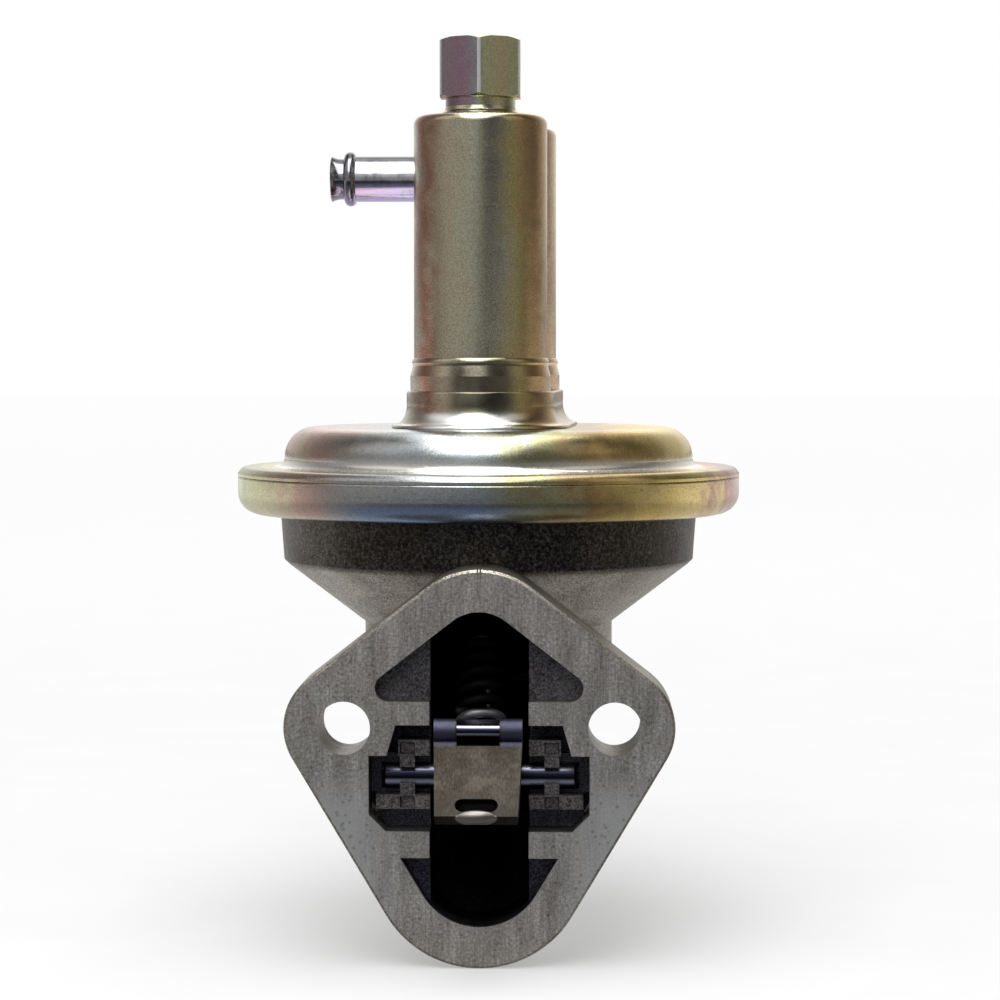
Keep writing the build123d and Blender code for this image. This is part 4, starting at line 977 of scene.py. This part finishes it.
# Diaphragm spring and valve springs: foot, then length, mean radius, wire radius and turns,
# then the joint that shortens the spring, its travel and the height of the end that stays
COILS = {
    "plunger_spring": ("diaphragm_spring", (0, AXIS_Y, 19.7), 21.2, 13.5, 1.1, 5.0, "rod_slide", 5.2, 0.0),
    "outlet_disc_spring": (
        "outlet_valve_spring", (*OUTLET, 50.85), 4.45, 3.5, 0.3, 4.0, "outlet_valve_lift", 1.5, 4.45
    ),
    "inlet_disc_spring": (
        "inlet_valve_spring", (*INLET, 47.0), 3.35, 3.5, 0.3, 4.0, "inlet_valve_lift", 1.5, 0.0
    ),
}
for name, (node, foot, length, mean, wire_r, turns, joint, travel, fixed_end) in COILS.items():
    coil = wire(spring(foot, (0, 0, 1), length, mean, wire_r, turns), wire_r, sides=16)
    piece = place(coil, name, "housing", "spring_steel", wire_steel, [node])
    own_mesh(piece)

# Diaphragm in sectors, each stretched outward from the rod's plates to the clamped edge
ROD_R = 3.5
EDGE_R = 48.84
ROLL_INNER = 28.0
ROLL_OUTER = 37.6
MEMBRANE_BOTTOM = 42.0
MEMBRANE_RISE = 2.0
MEMBRANE_THICKNESS = 1.6
SECTORS = 12
roll = [ROLL_INNER + (ROLL_OUTER - ROLL_INNER) * i / 14 for i in range(15)]
radii = [ROD_R, 12.0, 20.0] + roll + [43.0, EDGE_R]


def sector(first, last, steps=10):
    """Wedge of the membrane between two angles, with its rolled convolution."""
    bm = bmesh.new()
    layers = []
    for thickness in (0.0, MEMBRANE_THICKNESS):
        layer = []
        for radius in radii:
            share = min(1.0, max(0.0, (radius - ROLL_INNER) / (ROLL_OUTER - ROLL_INNER)))
            height = MEMBRANE_BOTTOM + MEMBRANE_RISE * share * share * (3 - 2 * share) + thickness
            row = []
            for i in range(steps + 1):
                angle = first + (last - first) * i / steps
                point = Vector((radius * math.cos(angle), AXIS_Y + radius * math.sin(angle), height))
                row.append(bm.verts.new(point * MM))
            layer.append(row)
        layers.append(layer)
    bottom, top = layers
    for layer in layers:
        for low, high in zip(layer, layer[1:]):
            for i in range(steps):
                bm.faces.new((low[i], low[i + 1], high[i + 1], high[i]))
    for row in (0, -1):
        for i in range(steps):
            bm.faces.new((bottom[row][i], bottom[row][i + 1], top[row][i + 1], top[row][i]))
    for side in (0, -1):
        for k in range(len(radii) - 1):
            bm.faces.new((bottom[k][side], bottom[k + 1][side], top[k + 1][side], top[k][side]))
    return bm


span = math.tau / SECTORS
for i in range(SECTORS):
    bm = sector(i * span, (i + 1) * span)
    bmesh.ops.recalc_face_normals(bm, faces=bm.faces)
    mesh = bpy.data.meshes.new(f"membrane_{i + 1}")
    bm.to_mesh(mesh)
    bm.free()
    smooth(mesh, 50)
    mesh.materials.append(black_rubber)
    wedge = bpy.data.objects.new(f"membrane_{i + 1}", mesh)
    bpy.context.scene.collection.objects.link(wedge)
    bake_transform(wedge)
    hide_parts("diaphragm")

# Camera at the photo's viewing angle, turned a little to the left and down. Its focal length
# and the two turns are given in pixels of a picture 1000 wide
FOCAL_PIXELS = 2860
camera_data = bpy.data.cameras.new("camera")
camera_data.sensor_width = 36.0
camera_data.lens = camera_data.sensor_width * FOCAL_PIXELS / 1000
camera = bpy.data.objects.new("camera", camera_data)
camera.location = Vector((18.8, -531.3, 69.2)) * MM
yaw = math.atan(80 / FOCAL_PIXELS)
pitch = math.atan(142 / FOCAL_PIXELS)
camera.rotation_euler = (math.radians(90) - pitch, 0, yaw)
bpy.context.scene.collection.objects.link(camera)
bpy.context.scene.camera = camera

# Pale floor under the lowest point. To the camera it glows where less light falls on it, so
# that it is just under white all over. Its mirror image is dark in front of the pump
floor_mesh = bpy.data.meshes.new("floor")
bm = bmesh.new()
bmesh.ops.create_grid(bm, x_segments=2, y_segments=2, size=8.0)
bm.to_mesh(floor_mesh)
bm.free()
floor = bpy.data.objects.new("floor", floor_mesh)
floor.location = (0, 0, cad_low.z)
bpy.context.scene.collection.objects.link(floor)
floor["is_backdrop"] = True
ground = Surface("floor")
path = ground.tree.nodes.new("ShaderNodeLightPath")
seen = path.outputs["Is Camera Ray"]
mirrored = ground.math("MAXIMUM", path.outputs["Is Glossy Ray"], path.outputs["Is Transmission Ray"])
glow = ground.tree.nodes.new("ShaderNodeEmission")
distance = ground.vector("LENGTH", ground.place)
far_off = ground.math("POWER", ground.math("DIVIDE", distance, 850.0), 2.4)
level = ground.math("SUBTRACT", 0.80, ground.math("DIVIDE", 0.422, ground.math("ADD", far_off, 1.0)))
ground.put(glow.inputs["Strength"], ground.times(seen, level))
mottle = ground.spans(ground.noise(40.0, detail=2.0), 0.3, 0.7, 0.79, 0.81)
mottle = ground.times(mottle, ground.math("MULTIPLY_ADD", seen, -0.35, 1.0))
pale = ground.tree.nodes.new("ShaderNodeBsdfDiffuse")
ground.put(pale.inputs["Color"], ground.join(mottle, mottle, mottle))
both = ground.tree.nodes.new("ShaderNodeAddShader")
ground.tree.links.new(pale.outputs[0], both.inputs[0])
ground.tree.links.new(glow.outputs[0], both.inputs[1])
away = ground.math("MULTIPLY_ADD", ground.y, 0.0005, 0.9, clamp=True)
shown = ground.ramp(
    away,
    (0.10, (0.42, 0.42, 0.42, 1)),
    (0.45, (0.22, 0.22, 0.23, 1)),
    (0.62, (0.03, 0.03, 0.035, 1)),
    (0.74, (0.04, 0.04, 0.05, 1)),
    (0.82, (0.15, 0.17, 0.21, 1)),
    (0.90, (0.32, 0.32, 0.32, 1)),
    (0.98, (0.80, 0.80, 0.80, 1)),
)
beside = ground.spans(ground.off(ground.x), 200.0, 900.0, 0.0, 0.32)
shown = ground.mix(1.0, shown, ground.join(beside, beside, beside), blend="ADD")
mirror = ground.tree.nodes.new("ShaderNodeEmission")
ground.put(mirror.inputs["Color"], shown)
choice = ground.tree.nodes.new("ShaderNodeMixShader")
ground.put(choice.inputs[0], mirrored)
ground.tree.links.new(both.outputs[0], choice.inputs[1])
ground.tree.links.new(mirror.outputs[0], choice.inputs[2])
ground.tree.links.new(choice.outputs[0], ground.tree.nodes["Material Output"].inputs["Surface"])
ground.tree.nodes.remove(ground.shader)
floor_mesh.materials.append(ground.material)

# Studio. The camera sees white and the pump is lit evenly from all round, but in its mirror
# images the room is dim, with a dark place beside the camera and a bright strip overhead
world = bpy.data.worlds.new("studio")
bpy.context.scene.world = world
world.use_nodes = True
world.cycles.sampling_method = "NONE"


class Room(Surface):
    """The world's nodes, with the direction looked in as the place."""

    def __init__(self, world):
        self.tree = world.node_tree
        place = self.tree.nodes.new("ShaderNodeTexCoord")
        self.x, self.y, self.z = self.split(place.outputs["Generated"])


room = Room(world)
path = room.tree.nodes.new("ShaderNodeLightPath")
around = room.math("DIVIDE", room.math("ARCTAN2", room.x, room.times(room.y, -1.0)), math.tau)
around = room.math("ADD", around, 0.5)

# Walls from the back over the left (0.25), the camera's side (0.5) and the right to the back
walls = room.ramp(
    around,
    (0.00, (0.95, 0.95, 0.95, 1)),
    (0.08, (0.75, 0.75, 0.75, 1)),
    (0.15, (0.36, 0.36, 0.36, 1)),
    (0.22, (0.26, 0.26, 0.26, 1)),
    (0.32, (0.44, 0.44, 0.44, 1)),
    (0.40, (0.46, 0.46, 0.46, 1)),
    (0.49, (0.42, 0.42, 0.42, 1)),
    (0.53, (0.12, 0.12, 0.13, 1)),
    (0.58, (0.14, 0.14, 0.15, 1)),
    (0.68, (0.34, 0.34, 0.34, 1)),
    (0.80, (0.16, 0.16, 0.16, 1)),
    (0.88, (0.55, 0.55, 0.55, 1)),
    (0.94, (0.85, 0.85, 0.85, 1)),
    (1.00, (0.95, 0.95, 0.95, 1)),
    smoothed=True,
)

# Darker below the horizon and high up at the sides, brighter in the strip
lift = room.spans(room.z, -0.01, 0.07, 0.22, 1.0)
aside = room.spans(room.off(room.x), 0.1, 0.4)
overhead = room.spans(room.z, 0.2, 0.7)
dimmed = room.times(overhead, aside)
lift = room.times(lift, room.math("MULTIPLY_ADD", dimmed, -0.45, 1.0))
strip = room.times(room.spans(room.z, 0.05, 0.5), room.math("SUBTRACT", 1.0, aside))
lift = room.math("MULTIPLY_ADD", strip, 1.1, lift)
walls = room.vector("SCALE", walls, scale=lift)
shiny = room.math("MAXIMUM", path.outputs["Is Glossy Ray"], path.outputs["Is Transmission Ray"])
inside = room.mix(shiny, (0.36, 0.36, 0.36, 1), walls)
colour = room.mix(path.outputs["Is Camera Ray"], inside, (1, 1, 1, 1))
room.put(room.tree.nodes["Background"].inputs["Color"], colour)
room.tree.nodes["Background"].inputs["Strength"].default_value = 1.0


def panel(name, angle, height, distance, width, tall, brightness):
    """Soft panel light aimed at the pump. The angle is from the camera's side, positive to the right."""
    data = bpy.data.lights.new(name, "AREA")
    data.shape = "RECTANGLE"
    data.size = width
    data.size_y = tall
    data.energy = brightness * math.pi * width * tall
    lamp = bpy.data.objects.new(name, data)
    aim = Vector((0, 0.05, 0.05))
    turn = math.radians(angle)
    lift = math.radians(height)
    offset = Vector((math.sin(turn) * math.cos(lift), -math.cos(turn) * math.cos(lift), math.sin(lift)))
    lamp.location = aim + offset * distance
    lamp.rotation_mode = "QUATERNION"
    lamp.rotation_quaternion = offset.to_track_quat("Z", "Y")
    bpy.context.scene.collection.objects.link(lamp)


panel("panel_left", -70, 42, 1.0, 0.6, 0.6, 0.50)
panel("panel_right", 66, 42, 1.0, 0.6, 0.6, 0.35)
panel("panel_key", -9, 74, 0.9, 0.66, 1.7, 3.4)

bpy.context.scene.view_settings.view_transform = "Standard"

low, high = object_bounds()
